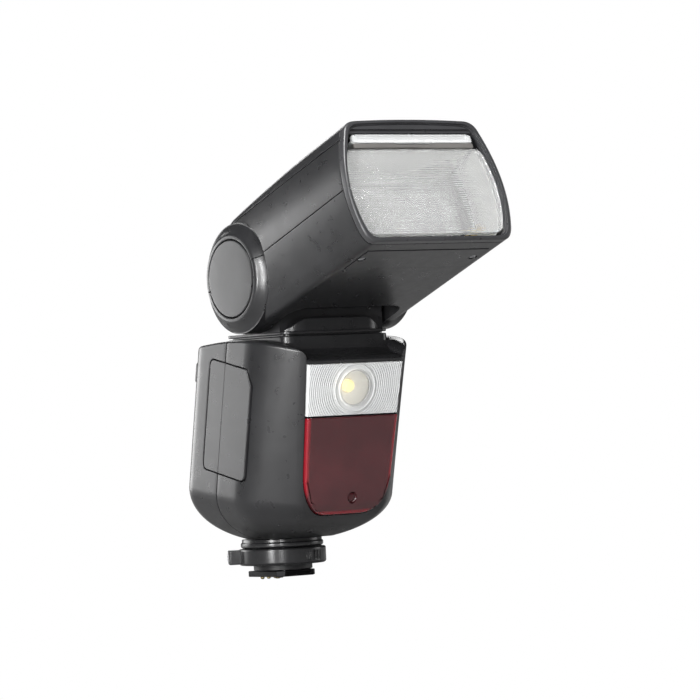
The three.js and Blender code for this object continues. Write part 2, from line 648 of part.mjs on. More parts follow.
// The opening under the head that swings over the neck, its front corners rounded.
function neckOpening() {
  const { halfWidth: w, front, corner } = OPENING;
  const shape = new THREE.Shape();
  shape.moveTo(-w, 40);
  shape.lineTo(-w, front + corner);
  shape.quadraticCurveTo(-w, front, -w + corner, front);
  shape.lineTo(w - corner, front);
  shape.quadraticCurveTo(w, front, w, front + corner);
  shape.lineTo(w, 40);
  return prism('z', shape, -40, 0, 6);
}

function headShell() {
  const end = HEAD.length - HEAD.bezel;
  const ears = rod('x', EAR.radius, -EAR.outer, EAR.outer, [0, 0], 48);
  const drum = rod('x', DRUM.radius + 0.5, -EAR.inner, EAR.inner, [0, 0], 40);
  const behind = block([-EAR.inner, 4, -40], [EAR.inner, 40, 40]);
  let shell = headForm(0, 0, end).add(headForm(0, -HEAD.rear, 0.5)).add(ears);
  shell = shell.subtract(headForm(WALL, HEAD.rearWall + WALL, end + 1));
  shell = shell.subtract(drum).subtract(behind).subtract(neckOpening());
  for (const side of [-1, 1]) {
    const outer = [side * (EAR.outer - 1.4), side * (EAR.outer + 3)].sort(ascending);
    shell = shell.subtract(rod('x', CAP.radius + GAP, ...outer, [0, 0], 36));
    const groove = ringX(EAR.radius + 3, 18.2, ...[side * (EAR.outer - 0.7), side * 60].sort(ascending));
    shell = shell.subtract(groove.intersect(block([-60, -16, -30], [60, 30, 30])));
  }
  return shell.subtract(rod('x', AXLE + GAP, -60, 60, [0, 0]));
}

function ringX(outer, inner, a, b) {
  return rod('x', outer, a, b, [0, 0], 40).subtract(rod('x', inner, a - 1, b + 1, [0, 0], 40));
}

function bottomBlock(grow) {
  const { halfWidth, from, to, step } = BOTTOM_PANEL;
  return block([-halfWidth - grow, -to - grow, -30], [halfWidth + grow, -from + grow, -HEAD.bottom + step]);
}

function upperShell(shell) {
  const lid = aboveLine(SEAM_TOP.rear, SEAM_TOP.front, GAP);
  return shell.intersect(aboveLine(HEAD.seam + GAP / 2, HEAD.seam + GAP / 2)).subtract(lid);
}

function lowerShell(shell) {
  const dip = bottomBlock(GAP).subtract(headForm(0.7, 10, 80));
  return shell.subtract(aboveLine(HEAD.seam - GAP / 2, HEAD.seam - GAP / 2)).subtract(dip);
}

function topCover(shell) {
  return shell.intersect(aboveLine(SEAM_TOP.rear, SEAM_TOP.front));
}

function bezel() {
  const end = HEAD.length;
  const outer = headForm(0, end - HEAD.bezel + GAP, end);
  return outer.subtract(headForm(HEAD.frame, end - HEAD.bezel - 1, end + 1));
}

function fresnelLens() {
  const front = HEAD.length - LENS.recess;
  const window = block([-60, -front, LENS.bottom], [60, -front + LENS.thick, LENS.top]);
  return window.intersect(headForm(HEAD.frame + GAP, front - LENS.thick - 1, front + 1));
}

// The clear panel and the white card slide out of the slot above the lens, along the top's slope.
function widePanel() {
  const { halfWidth, lipHalf, front, lipDepth } = SHEET;
  const sheet = block([-halfWidth, front, 1.9], [halfWidth, 46, 3]);
  return sheet.add(block([-lipHalf, front, 0.2], [lipHalf, front + lipDepth, 3.5]));
}

function bounceCard() {
  const { halfWidth, lipHalf, front, lipDepth } = SHEET;
  const sheet = block([-halfWidth, front + 0.1, -0.9], [halfWidth, 44, -0.1]);
  const lip = block([-lipHalf, front + 0.1, -2], [lipHalf, front + lipDepth, -0.1]);
  const notch = rod('y', THUMB.radius, 0, front + 0.7, [0, THUMB.radius - THUMB.depth], 96);
  return sheet.add(lip).subtract(notch);
}

function reflector() {
  const outer = new THREE.Shape();
  const inner = new THREE.Shape();
  const half = 11.2;
  outer.moveTo(-1, half);
  outer.quadraticCurveTo(36, 0, -1, -half);
  inner.moveTo(-3, half - 0.4);
  inner.quadraticCurveTo(33.6, 0, -3, -half + 0.4);
  const width = 27;
  const trough = prism('x', outer, -width, width, 12).subtract(prism('x', inner, -width - 1, width + 1, 12));
  return trough.translate([0, -CARRIAGE.front + 1.2, 0]);
}

function flashTube() {
  const y = -CARRIAGE.front + 12;
  const glass = rod('x', 2.2, -26, 26, [y, 0], 20);
  return glass.add(rod('x', 1.2, -30.5, 30.5, [y, 0], 14));
}

function zoomCarriage() {
  const { front, rear, halfWidth: w, half, rodX, rodZ } = CARRIAGE;
  let frame = block([-w, -front, -half], [w, -rear, half]);
  frame = frame.subtract(block([-w + 1.2, -front - 1, -half + 1.2], [w - 1.2, -rear - 1.5, half - 1.2]));
  frame = frame.subtract(rod('x', 1.6, -40, 40, [-front + 12, 0], 14));
  for (const side of [-1, 1]) {
    frame = frame.add(rod('y', 2.2, -front + 2, -rear, [side * rodX, rodZ], 20));
  }
  return frame.subtract(rod('y', CARRIAGE.rod + GAP, -90, 0, [-rodX, rodZ], 16))
    .subtract(rod('y', CARRIAGE.rod + GAP, -90, 0, [rodX, rodZ], 16))
    .subtract(block([-w + 1.2, -front - 1, -half + 1.2], [w - 1.2, -rear - 1.5, half - 1.2]));
}

function zoomMotor() {
  return rod('y', 5, -36, -23, [20.5, -9.5], 24).add(block([14, -37.4, -15.7], [27.4, -36, -4]))
    .subtract(rod('y', CARRIAGE.rod + GAP, -40, -34, [CARRIAGE.rodX, CARRIAGE.rodZ], 16));
}

function addHeadInside(head) {
  const { rodX, rodZ } = CARRIAGE;
  piece('reflector', reflector(), mirror, head);
  piece('flash_tube', flashTube(), clear, head);
  piece('zoom_carriage', zoomCarriage(), darkPlastic, head);
  piece('guide_rod', rod('y', CARRIAGE.rod, -78, -21.5, [-rodX, rodZ], 16), steel, head);
  piece('lead_screw', rod('y', CARRIAGE.rod, -78, -37.8, [rodX, rodZ], 16), brass, head);
  piece('zoom_motor', zoomMotor(), steel, head);
}

function bottomPanel() {
  let panel = bottomBlock(0).intersect(headForm(-0.2, 10, 80)).subtract(headForm(0.4, 10, 80));
  const { screwX, screwY } = BOTTOM_PANEL;
  for (const x of [-screwX, screwX]) panel = panel.subtract(rod('z', 1.7, -30, 0, [x, screwY], 16));
  return panel;
}

function addHead(parent) {
  const head = new THREE.Group();
  head.position.set(0, PIVOT.y, PIVOT.z);
  head.rotation.x = -TILT;
  parent.add(head);
  const shell = headShell();
  piece('head_upper_shell', upperShell(shell), charcoal, head);
  piece('head_lower_shell', lowerShell(shell), charcoal, head);
  piece('head_top_cover', topCover(shell), charcoal, head);
  piece('head_bezel', bezel(), paleGrey, head);
  piece('fresnel_lens', fresnelLens(), clear, head);
  piece('head_bottom_panel', bottomPanel(), charcoal, head);
  piece('tilt_axle', rod('x', AXLE, -EAR.outer + 1.7, EAR.outer - 1.7, [0, 0], 24), steel, head);
  const slot = new THREE.Group();
  slot.position.set(0, -HEAD.length, CARD_SLOT);
  slot.rotation.x = -SLOPE;
  head.add(slot);
  piece('wide_panel', widePanel(), clear, slot);
  piece('bounce_card', bounceCard(), white, slot);
  for (const [name, side] of [['left', -1], ['right', 1]]) {
    const span = [side * (EAR.outer - 1.1), side * CAP.face].sort(ascending);
    piece(`hinge_cap_${name}`, rod('x', CAP.radius, ...span, [0, 0], 40), charcoal, head);
    const shim = [side * (DRUM.halfWidth + 0.1), side * (EAR.inner - 0.1)].sort(ascending);
    piece(`tilt_washer_${name}`, ringX(9, AXLE + GAP, ...shim), steel, head);
    const screwAt = [side * BOTTOM_PANEL.screwX, BOTTOM_PANEL.screwY];
    const screw = rod('z', 1.4, -HEAD.bottom + 0.1, -HEAD.bottom + 0.6, screwAt, 14);
    piece(`bottom_screw_${name}`, screw, steel, head);
  }
  addHeadInside(head);
}

// ---------- assembly ----------
function speedlight() {
  const flash = new THREE.Group();
  const shell = caseShell();
  piece('front_case', frontCase(shell), charcoal, flash);
  piece('rear_case', rearCase(shell), charcoal, flash);
  piece('led_window', ledWindow(), clear, flash);
  piece('red_panel', redPanel(), redClear, flash);
  addLamp(flash);
  addRearControls(flash);
  addBattery(flash);
  piece('main_capacitor', mainCapacitor(), darkPlastic, flash);
  addFoot(flash);
  addNeck(flash);
  addHead(flash);
  return flash;
}

export default speedlight();
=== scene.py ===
"""The looks of a speedlight flash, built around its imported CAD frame.

Shapes are made in millimetres and scaled to metres when they are finished.
"""
import math

import bmesh
import bpy
import numpy as np
from mathutils import Matrix, Vector
from mathutils.bvhtree import BVHTree


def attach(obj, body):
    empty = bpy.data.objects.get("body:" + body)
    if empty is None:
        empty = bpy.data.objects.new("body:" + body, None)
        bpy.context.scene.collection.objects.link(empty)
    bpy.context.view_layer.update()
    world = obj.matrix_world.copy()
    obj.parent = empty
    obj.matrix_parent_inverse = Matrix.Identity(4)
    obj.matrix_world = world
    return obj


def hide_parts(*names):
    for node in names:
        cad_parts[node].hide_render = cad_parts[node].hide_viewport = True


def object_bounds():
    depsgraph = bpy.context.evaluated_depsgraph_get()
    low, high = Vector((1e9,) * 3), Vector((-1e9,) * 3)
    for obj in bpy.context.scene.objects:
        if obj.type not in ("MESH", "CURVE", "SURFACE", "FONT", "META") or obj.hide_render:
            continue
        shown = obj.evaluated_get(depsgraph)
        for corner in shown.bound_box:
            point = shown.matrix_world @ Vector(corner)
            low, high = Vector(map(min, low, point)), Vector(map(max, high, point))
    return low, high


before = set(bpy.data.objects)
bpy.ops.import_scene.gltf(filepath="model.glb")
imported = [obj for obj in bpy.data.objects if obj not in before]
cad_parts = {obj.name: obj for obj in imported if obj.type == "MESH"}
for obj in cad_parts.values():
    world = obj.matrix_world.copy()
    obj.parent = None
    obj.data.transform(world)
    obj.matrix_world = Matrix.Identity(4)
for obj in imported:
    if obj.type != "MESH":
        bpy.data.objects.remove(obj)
cad_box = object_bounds()

MM = 0.001
GAP = 0.3
FAR = 120

# ---------- sizes, in millimetres: x to the right, y to the rear, z up ----------
LEAN = math.radians(12)          # forward lean of the body
TILT = math.radians(20)          # tilt of the head at rest
SLOPE = math.atan2(2.3, 83.5)    # fall of the card slot to the rear

# body, with its depths taken from the leaning line through MID_Y, MID_Z
BODY_HALF, BODY_FRONT, BODY_REAR = 35.5, 33, 29.9
BODY_BOTTOM = 15.2
MID_Y, MID_Z = -19.4, 67
FLAT_FRONT = 22.9                # half width of the flat front between its two creases
CORNER_DEPTH, REAR_CORNER = 19, 9
TAPER = 0.0022                   # share by which the front narrows for each millimetre down
ROUND_TOP, BOWL_TILT = 34, 0.15  # where the bowl of the bottom meets the walls
BASE_ANGLE = math.radians(65)
WALL, ROOF, SHOULDER = 2, 86.7, 1.3
SEAM = 4                         # the cases' seam, behind the middle line
CROWN_REAR, CROWN_PEAK, CROWN_FRONT = (8, 90.2), (-8, 92.3), (-52.8, 88.6)
FRONT_FALL = (94.4 - 88.6) / (52.8 - 34)
DECK_REAR, DECK_RISER, DECK_CEILING = -45, -43, 82.9

# window, red panel, lamp and battery
PANEL_HALF, PANEL_CORNER, PANEL_RISE = 22.3, 12, 1.35
PANEL_TOP, PANEL_SPLIT, PANEL_BOTTOM = 81.9, 61.9, 24
LAMP_Z, REAR_Z = 72.6, 60
BATTERY_Y, BATTERY_Z = -18.3, 62.4
BATTERY_LENGTH, BATTERY_DEPTH, BATTERY_HEIGHT, CHAMFER = 62, 28.2, 43.4, 6

# neck
NECK_HALF, NECK_DEPTH, NECK_CORNER, NECK_Y = 24.8, 21, 4, -24.3
NECK_BOTTOM, NECK_TOP, FLANGE_BOTTOM, FLANGE_TOP = 89, 93.4, 94, 95.2
SADDLE_HALF, SADDLE_DEPTH, SADDLE_CORNER, SADDLE_Y = 24.3, 18, 10, -26.8
SADDLE_TOP, SADDLE_FALL = 100.4, 11

# head, in its own frame: front towards -y, axis of tilt through the origin
PIVOT = Vector((0, -29, 116.5))
DRUM_RADIUS, DRUM_HALF, AXLE = 17.6, 24.6, 4
EAR_INNER, EAR_RADIUS, CAP_RADIUS, CAP_FACE = 25.2, 21.4, 14.8, 38
OPENING_HALF, OPENING_FRONT, OPENING_CORNER = 26.2, -19.8, 8
HEAD_LENGTH, BULGE, TOP_HALF, BOTTOM_HALF, FLARE = 83.5, 39.6, 30.3, 33.6, 1.3
HEAD_TOP, HEAD_REAR_TOP, HEAD_BOTTOM = 28.4, 26.1, 21
TOP_CORNER, BOTTOM_CORNER, CROWN = 5, 6, 0.6
HEAD_REAR, REAR_FALL, REAR_WALL = 6.5, 0.13, 19
BEZEL, FRAME, HEAD_SEAM = 3.2, 1.9, 1.1
LENS_TOP, LENS_BOTTOM, LENS_THICK, LENS_RECESS = 17, -17.3, 2.2, 2.1
SEAM_REAR, SEAM_FRONT, CARD_SLOT = 23.4, 21.2, 19.3
CARRIAGE_FRONT = 62


def leaning(y, z):
    return Matrix.Translation((0, y, z)) @ Matrix.Rotation(LEAN, 4, "X")


def middle_y(z):
    return MID_Y - math.tan(LEAN) * (z - MID_Z)


REAR_FRAME = leaning(middle_y(REAR_Z) + BODY_REAR, REAR_Z)
FRONT_FRAME = leaning(middle_y(LAMP_Z) - BODY_FRONT, LAMP_Z)
BATTERY_FRAME = leaning(BATTERY_Y, BATTERY_Z)
HEAD_FRAME = Matrix.Translation(PIVOT) @ Matrix.Rotation(-TILT, 4, "X")
SLOT_FRAME = HEAD_FRAME @ Matrix.Translation((0, -HEAD_LENGTH, CARD_SLOT)) @ Matrix.Rotation(-SLOPE, 4, "X")


# ---------- outlines ----------
def straight(a, b, count=1):
    return [(a[0] + (b[0] - a[0]) * i / count, a[1] + (b[1] - a[1]) * i / count) for i in range(count)]


def quadratic(a, control, b, t):
    """The point at share t of the quadratic curve from a to b."""
    return tuple((1 - t) ** 2 * p + 2 * t * (1 - t) * q + t * t * r for p, q, r in zip(a, control, b))


def bend(a, control, b, count=12):
    """Points of a quadratic curve from a towards b, without b itself."""
    return [quadratic(a, control, b, i / count) for i in range(count)]


def arc(x, y, radius, start, end, count=12):
    angles = [math.radians(start + (end - start) * i / count) for i in range(count + 1)]
    return [(x + radius * math.cos(t), y + radius * math.sin(t)) for t in angles]


def rounded(half_width, half_height, radius, x=0.0, y=0.0, count=8):
    points = []
    for sx, sy, start in ((1, 1, 0), (-1, 1, 90), (-1, -1, 180), (1, -1, 270)):
        cx = x + sx * (half_width - radius)
        cy = y + sy * (half_height - radius)
        points += arc(cx, cy, radius, start, start + 90, count)
    return points


# ---------- solids ----------
def solid(vertices, faces, matrix=None):
    mesh = bpy.data.meshes.new("solid")
    mesh.from_pydata([tuple(v) for v in vertices], [], faces)
    made = bmesh.new()
    made.from_mesh(mesh)
    bmesh.ops.remove_doubles(made, verts=made.verts, dist=1e-5)
    bmesh.ops.recalc_face_normals(made, faces=made.faces)
    made.to_mesh(mesh)
    made.free()
    if matrix is not None:
        mesh.transform(matrix)
    obj = bpy.data.objects.new("solid", mesh)
    bpy.context.scene.collection.objects.link(obj)
    return obj


def stack(rings, matrix=None):
    """A solid through a list of rings with equally many points each."""
    count = len(rings[0])
    vertices = [point for ring in rings for point in ring]
    faces = []
    for level in range(len(rings) - 1):
        low, high = level * count, (level + 1) * count
        for i in range(count):
            j = (i + 1) % count
            faces.append((low + i, low + j, high + j, high + i))
    faces.append(tuple(range(count))[::-1])
    faces.append(tuple(range((len(rings) - 1) * count, len(rings) * count)))
    return solid(vertices, faces, matrix)


def prism(axis, outline, a, b, matrix=None, steps=1):
    """A flat outline pushed along an axis: (y, z) along x, (x, z) along y, (x, y) along z."""
    rings = []
    for i in range(steps + 1):
        level = a + (b - a) * i / steps
        if axis == "x":
            rings.append([(level, p, q) for p, q in outline])
        elif axis == "y":
            rings.append([(p, level, q) for p, q in outline])
        else:
            rings.append([(p, q, level) for p, q in outline])
    return stack(rings, matrix)


def block(low, high, matrix=None):
    outline = [(low[0], low[1]), (high[0], low[1]), (high[0], high[1]), (low[0], high[1])]
    return prism("z", outline, low[2], high[2], matrix)


def turned(profile, axis="z", matrix=None, segments=96):
    """A closed profile of (radius, height) points turned round an axis."""
    rings = []
    for i in range(segments):
        t = 2 * math.pi * i / segments
        ring = []
        for radius, height in profile:
            u, v = radius * math.cos(t), radius * math.sin(t)
            ring.append({"z": (u, v, height), "y": (v, height, u), "x": (height, u, v)}[axis])
        rings.append(ring)
    count = len(profile)
    vertices = [p for ring in rings for p in ring]
    faces = []
    for i in range(segments):
        j = (i + 1) % segments
        for k in range(count):
            n = (k + 1) % count
            faces.append((i * count + k, i * count + n, j * count + n, j * count + k))
    return solid_clean(vertices, faces, matrix)


def solid_clean(vertices, faces, matrix):
    """A solid whose faces on the axis have fallen flat, with those taken away."""
    obj = solid(vertices, faces)
    made = bmesh.new()
    made.from_mesh(obj.data)
    bmesh.ops.dissolve_degenerate(made, dist=1e-5, edges=made.edges)
    bmesh.ops.recalc_face_normals(made, faces=made.faces)
    made.to_mesh(obj.data)
    made.free()
    if matrix is not None:
        obj.data.transform(matrix)
    return obj


def rod(axis, radius, a, b, centre=(0, 0), matrix=None, segments=64):
    outline = [(centre[0] + radius * math.cos(2 * math.pi * i / segments),
                centre[1] + radius * math.sin(2 * math.pi * i / segments)) for i in range(segments)]
    return prism(axis, outline, a, b, matrix)


def apply_modifiers(obj):
    graph = bpy.context.evaluated_depsgraph_get()
    mesh = bpy.data.meshes.new_from_object(obj.evaluated_get(graph))
    old = obj.data
    obj.modifiers.clear()
    obj.data = mesh
    bpy.data.meshes.remove(old)
    return obj


def combine(target, tool, operation):
    """Joins the target with the tool, or cuts it; the tool is used up."""
    modifier = target.modifiers.new("combine", "BOOLEAN")
    modifier.object = tool
    modifier.operation = operation
    modifier.solver = "EXACT"
    apply_modifiers(target)
    weld(target, 0.002)
    bpy.data.meshes.remove(tool.data)
    return target


def weld(obj, distance):
    made = bmesh.new()
    made.from_mesh(obj.data)
    bmesh.ops.remove_doubles(made, verts=made.verts, dist=distance)
    bmesh.ops.dissolve_degenerate(made, dist=distance / 2, edges=made.edges)
    made.to_mesh(obj.data)
    made.free()


def cut(target, *tools):
    for tool in tools:
        combine(target, tool, "DIFFERENCE")
    return target


def join(target, *tools):
    for tool in tools:
        combine(target, tool, "UNION")
    return target


def within(target, tool):
    return combine(target, tool, "INTERSECT")


def duplicate(obj):
    copy = bpy.data.objects.new("solid", obj.data.copy())
    bpy.context.scene.collection.objects.link(copy)
    return copy


def soften(obj, width, segments=2):
    """Rounds the sharp edges; a point thrown off the surface by that goes back to it."""
    weld(obj, 0.02)
    if width:
        points = [vertex.co for vertex in obj.data.vertices]
        skin = BVHTree.FromPolygons(points, [face.vertices for face in obj.data.polygons])
        modifier = obj.modifiers.new("edges", "BEVEL")
        modifier.width = width
        modifier.segments = segments
        modifier.limit_method = "ANGLE"
        modifier.angle_limit = math.radians(32)
        modifier.use_clamp_overlap = False
        apply_modifiers(obj)
        for vertex in obj.data.vertices:
            nearest, _, _, distance = skin.find_nearest(vertex.co)
            if distance > width / 2:
                vertex.co = nearest
    return obj


def smooth(obj, angle=38):
    obj.data.polygons.foreach_set("use_smooth", [True] * len(obj.data.polygons))
    obj.data.set_sharp_from_angle(angle=math.radians(angle))
    modifier = obj.modifiers.new("normals", "WEIGHTED_NORMAL")
    modifier.keep_sharp = True
    return apply_modifiers(obj)


def finish_piece(obj, name, body, nodes, material, edge=0.25, segments=2, shading=38):
    """Rounds, smooths, names and colours a piece, ties it to its body and hides the CAD nodes that it stands
    for.
    """
    soften(obj, edge, segments)
    smooth(obj, shading)
    obj.data.transform(Matrix.Scale(MM, 4))
    obj.name = name
    obj.data.name = name
    obj.data.materials.clear()
    obj.data.materials.append(material)
    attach(obj, body)
    if nodes:
        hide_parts(*nodes)
    return obj


# ---------- materials ----------
def node_material(name):
    material = bpy.data.materials.new(name)
    material.use_nodes = True
    nodes, links = material.node_tree.nodes, material.node_tree.links
    shader = nodes["Principled BSDF"]
    place = nodes.new("ShaderNodeTexCoord")
    return material, nodes, links, shader, place.outputs["Object"]


CLEAR_IOR = 1.49


def noise(nodes, links, place, scale, detail=3.0, rough=0.5, stretch=None):
    texture = nodes.new("ShaderNodeTexNoise")
    texture.inputs["Scale"].default_value = scale
    texture.inputs["Detail"].default_value = detail
    texture.inputs["Roughness"].default_value = rough
    if stretch:
        mapping = nodes.new("ShaderNodeMapping")
        mapping.inputs["Scale"].default_value = stretch
        links.new(place, mapping.inputs["Vector"])
        place = mapping.outputs["Vector"]
    links.new(place, texture.inputs["Vector"])
    return texture.outputs["Fac"]


def spread(nodes, links, value, low, high):
    ranged = nodes.new("ShaderNodeMapRange")
    ranged.inputs["From Min"].default_value = 0.3
    ranged.inputs["From Max"].default_value = 0.7
    ranged.inputs["To Min"].default_value = low
    ranged.inputs["To Max"].default_value = high
    links.new(value, ranged.inputs["Value"])
    return ranged.outputs["Result"]


def shade_between(nodes, links, value, dark, light):
    mix = nodes.new("ShaderNodeMix")
    mix.data_type = "RGBA"
    mix.inputs[6].default_value = (*dark, 1)
    mix.inputs[7].default_value = (*light, 1)
    links.new(value, mix.inputs["Factor"])
    return mix.outputs[2]


def bump(nodes, links, shader, height, strength, distance):
    node = nodes.new("ShaderNodeBump")
    node.inputs["Strength"].default_value = strength
    node.inputs["Distance"].default_value = distance
    links.new(height, node.inputs["Height"])
    links.new(node.outputs["Normal"], shader.inputs["Normal"])


def plastic(name, colour, roughness, grain=0.25, grain_scale=2600, vary=0.18, **sockets):
    """Moulded plastic: spark-eroded grain, faint cloudy shade and a slightly uneven gloss."""
    material, nodes, links, shader, place = node_material(name)
    cloud = spread(nodes, links, noise(nodes, links, place, 55, 4), 0, 1)
    dark = [c * (1 - vary) for c in colour]
    light = [c * (1 + vary) for c in colour]
    links.new(shade_between(nodes, links, cloud, dark, light), shader.inputs["Base Color"])
    gloss = spread(nodes, links, noise(nodes, links, place, 240, 5), roughness - 0.035, roughness + 0.035)
    links.new(gloss, shader.inputs["Roughness"])
    if grain:
        bump(nodes, links, shader, noise(nodes, links, place, grain_scale, 2), grain, 0.00006)
    for socket, value in sockets.items():
        shader.inputs[socket.replace("_", " ")].default_value = value
    return material


def metal(name, colour, roughness, stretch=(1, 1, 1), scale=1800, grain=0.2, **sockets):
    material, nodes, links, shader, place = node_material(name)
    streak = noise(nodes, links, place, scale, 4, 0.6, stretch)
    mixed = spread(nodes, links, streak, 0, 1)
    dark = [c * 0.78 for c in colour]
    links.new(shade_between(nodes, links, mixed, dark, colour), shader.inputs["Base Color"])
    links.new(spread(nodes, links, streak, roughness - 0.08, roughness + 0.08), shader.inputs["Roughness"])
    shader.inputs["Metallic"].default_value = 1
    bump(nodes, links, shader, streak, grain, 0.00005)
    for socket, value in sockets.items():
        shader.inputs[socket.replace("_", " ")].default_value = value
    return material


CASE = plastic("case_plastic", (0.014, 0.014, 0.015), 0.3, grain=0.12)
CASE_SMOOTH = plastic("hinge_plastic", (0.022, 0.022, 0.023), 0.33, grain=0.22)
RIM = plastic("bezel_plastic", (0.030, 0.030, 0.032), 0.30, grain=0.15)
DARK = plastic("dark_plastic", (0.012, 0.012, 0.013), 0.40, grain=0.25)
SATIN = plastic("satin_black", (0.016, 0.016, 0.017), 0.24, grain=0.08, vary=0.1)
RUBBER = plastic("port_rubber", (0.018, 0.018, 0.018), 0.62, grain=0.5, grain_scale=1800)
CARD = plastic("white_card", (0.80, 0.80, 0.78), 0.5, grain=0.2, grain_scale=900, vary=0.03)
SCREEN = plastic("display_grey", (0.30, 0.33, 0.31), 0.28, grain=0.1, vary=0.04)
GREY = plastic("pale_grey", (0.22, 0.22, 0.225), 0.4, grain=0.2)
CLEAR = plastic("clear_plastic", (0.97, 0.98, 0.98), 0.09, grain=0, vary=0.01,
                Transmission_Weight=1.0, IOR=CLEAR_IOR)
LENS = plastic("lens_plastic", (0.97, 0.975, 0.97), 0.1, grain=0, vary=0.01,
               Transmission_Weight=0.8, IOR=CLEAR_IOR)
FROST = plastic("panel_plastic", (0.93, 0.94, 0.94), 0.2, grain=0, vary=0.02,
                Transmission_Weight=0.6, IOR=CLEAR_IOR)
# The bowl is no lamp: its emission is painted light that makes it look brightly lit from inside.
BOWL = plastic("lamp_bowl_painted_glow", (0.93, 0.93, 0.91), 0.22, grain=0, vary=0.03, Metallic=0.1,
               Emission_Color=(1.0, 0.96, 0.90, 1), Emission_Strength=0.45)
GRIP = plastic("grip_plastic", (0.10, 0.095, 0.09), 0.42, grain=0.2)
RED_EYE = plastic("red_eye_plastic", (0.035, 0.004, 0.006), 0.16, grain=0, vary=0.1)
RED_KEY = plastic("red_key_plastic", (0.30, 0.02, 0.03), 0.3, grain=0.1)
LAMP = plastic("lamp_phosphor", (0.96, 0.76, 0.26), 0.5, grain=0.35, grain_scale=4000, vary=0.06,
               Emission_Color=(1.0, 0.80, 0.36, 1), Emission_Strength=1.6)
BOARD = plastic("circuit_board", (0.012, 0.10, 0.05), 0.32, grain=0.4, grain_scale=700, vary=0.35)
WHITE_BOARD = plastic("lamp_board", (0.75, 0.75, 0.73), 0.35, grain=0.2, grain_scale=900, vary=0.05)
STEEL = metal("steel", (0.62, 0.62, 0.64), 0.32, (1, 14, 1), 900, 0.12)
FOOT_METAL = metal("foot_steel", (0.02, 0.02, 0.021), 0.5, scale=2600, grain=0.6)
MIRROR = metal("mirror_metal", (0.93, 0.93, 0.93), 0.16, scale=500, grain=0.05)
BRASS = metal("brass", (0.80, 0.62, 0.30), 0.28, scale=900)


def math_node(nodes, links, operation, first, second):
    node = nodes.new("ShaderNodeMath")
    node.operation = operation
    for socket, value in zip(node.inputs, (first, second)):
        if isinstance(value, (int, float)):
            socket.default_value = value
        else:
            links.new(value, socket)
    return node.outputs[0]


def red_panel_material():
    """Wine-red clear plastic over a dark inside, with painted light along its rim: the base colour turns a
    brighter, purer red near the edges, standing in for light glowing through the thick moulded edge.
    """
    material, nodes, links, shader, place = node_material("red_plastic")
    parts = nodes.new("ShaderNodeSeparateXYZ")
    links.new(place, parts.inputs[0])
    x = math_node(nodes, links, "ABSOLUTE", parts.outputs[0], 0)
    slope = PANEL_HALF * TAPER
    half = math_node(nodes, links, "MULTIPLY_ADD", parts.outputs[2], slope)
    half.node.inputs[2].default_value = (PANEL_HALF * (1 - TAPER * PANEL_TOP)) * MM
    from_side = math_node(nodes, links, "SUBTRACT", half, x)
    from_foot = math_node(nodes, links, "SUBTRACT", parts.outputs[2], PANEL_BOTTOM * MM)
    from_corner = math_node(nodes, links, "ADD", from_side, from_foot)
    from_corner = math_node(nodes, links, "MULTIPLY", from_corner, 0.7)
    from_corner = math_node(nodes, links, "SUBTRACT", from_corner, 2.6 * MM)
    nearest = math_node(nodes, links, "MINIMUM", from_side, from_foot)
    nearest = math_node(nodes, links, "MINIMUM", nearest, from_corner)
    cloud = noise(nodes, links, place, 90, 3)
    wobble = math_node(nodes, links, "MULTIPLY_ADD", cloud, 0.8 * MM)
    wobble.node.inputs[2].default_value = -0.4 * MM
    nearest = math_node(nodes, links, "ADD", nearest, wobble)
    ranged = nodes.new("ShaderNodeMapRange")
    ranged.interpolation_type = "SMOOTHSTEP"
    ranged.inputs["From Min"].default_value = 0.3 * MM
    ranged.inputs["From Max"].default_value = 1.9 * MM
    links.new(nearest, ranged.inputs["Value"])
    cloud = spread(nodes, links, cloud, 0, 1)
    centre = shade_between(nodes, links, cloud, (0.060, 0.011, 0.014), (0.095, 0.018, 0.022))
    # painted rim glow: a brighter red base colour near the panel's edges, in place of light through the
    # thick edge
    rim = shade_between(nodes, links, ranged.outputs["Result"], (0.30, 0.012, 0.022), (0.07, 0.02, 0.022))
    links.new(centre, rim.node.inputs[7])
    links.new(rim, shader.inputs["Base Color"])
    gloss = spread(nodes, links, noise(nodes, links, place, 240, 5), 0.14, 0.2)
    links.new(gloss, shader.inputs["Roughness"])
    shader.inputs["IOR"].default_value = CLEAR_IOR
    shader.inputs["Transmission Weight"].default_value = 0.25
    shader.inputs["Coat Weight"].default_value = 0.3
    shader.inputs["Coat Roughness"].default_value = 0.08
    return material


RED = red_panel_material()


def window_material():
    """White pearly plastic that is clear in a disc in front of the lamp."""
    material, nodes, links, shader, place = node_material("window_plastic")
    apart = nodes.new("ShaderNodeVectorMath")
    apart.operation = "DISTANCE"
    apart.inputs[1].default_value = (FRONT_FRAME @ Vector((0, -0.6, 0))) * MM
    links.new(place, apart.inputs[0])
    ranged = nodes.new("ShaderNodeMapRange")
    ranged.interpolation_type = "SMOOTHSTEP"
    ranged.inputs["From Min"].default_value = 6.4 * MM
    ranged.inputs["From Max"].default_value = 7.6 * MM
    ranged.inputs["To Min"].default_value = 0.86
    ranged.inputs["To Max"].default_value = 0.3
    links.new(apart.outputs["Value"], ranged.inputs["Value"])
    links.new(ranged.outputs["Result"], shader.inputs["Transmission Weight"])
    cloud = spread(nodes, links, noise(nodes, links, place, 120, 3), 0, 1)
    pearl = shade_between(nodes, links, cloud, (0.76, 0.77, 0.77), (0.82, 0.83, 0.83))
    links.new(pearl, shader.inputs["Base Color"])
    gloss = spread(nodes, links, noise(nodes, links, place, 240, 5), 0.08, 0.14)
    links.new(gloss, shader.inputs["Roughness"])
    shader.inputs["IOR"].default_value = 1.45
    return material


MILKY = window_material()


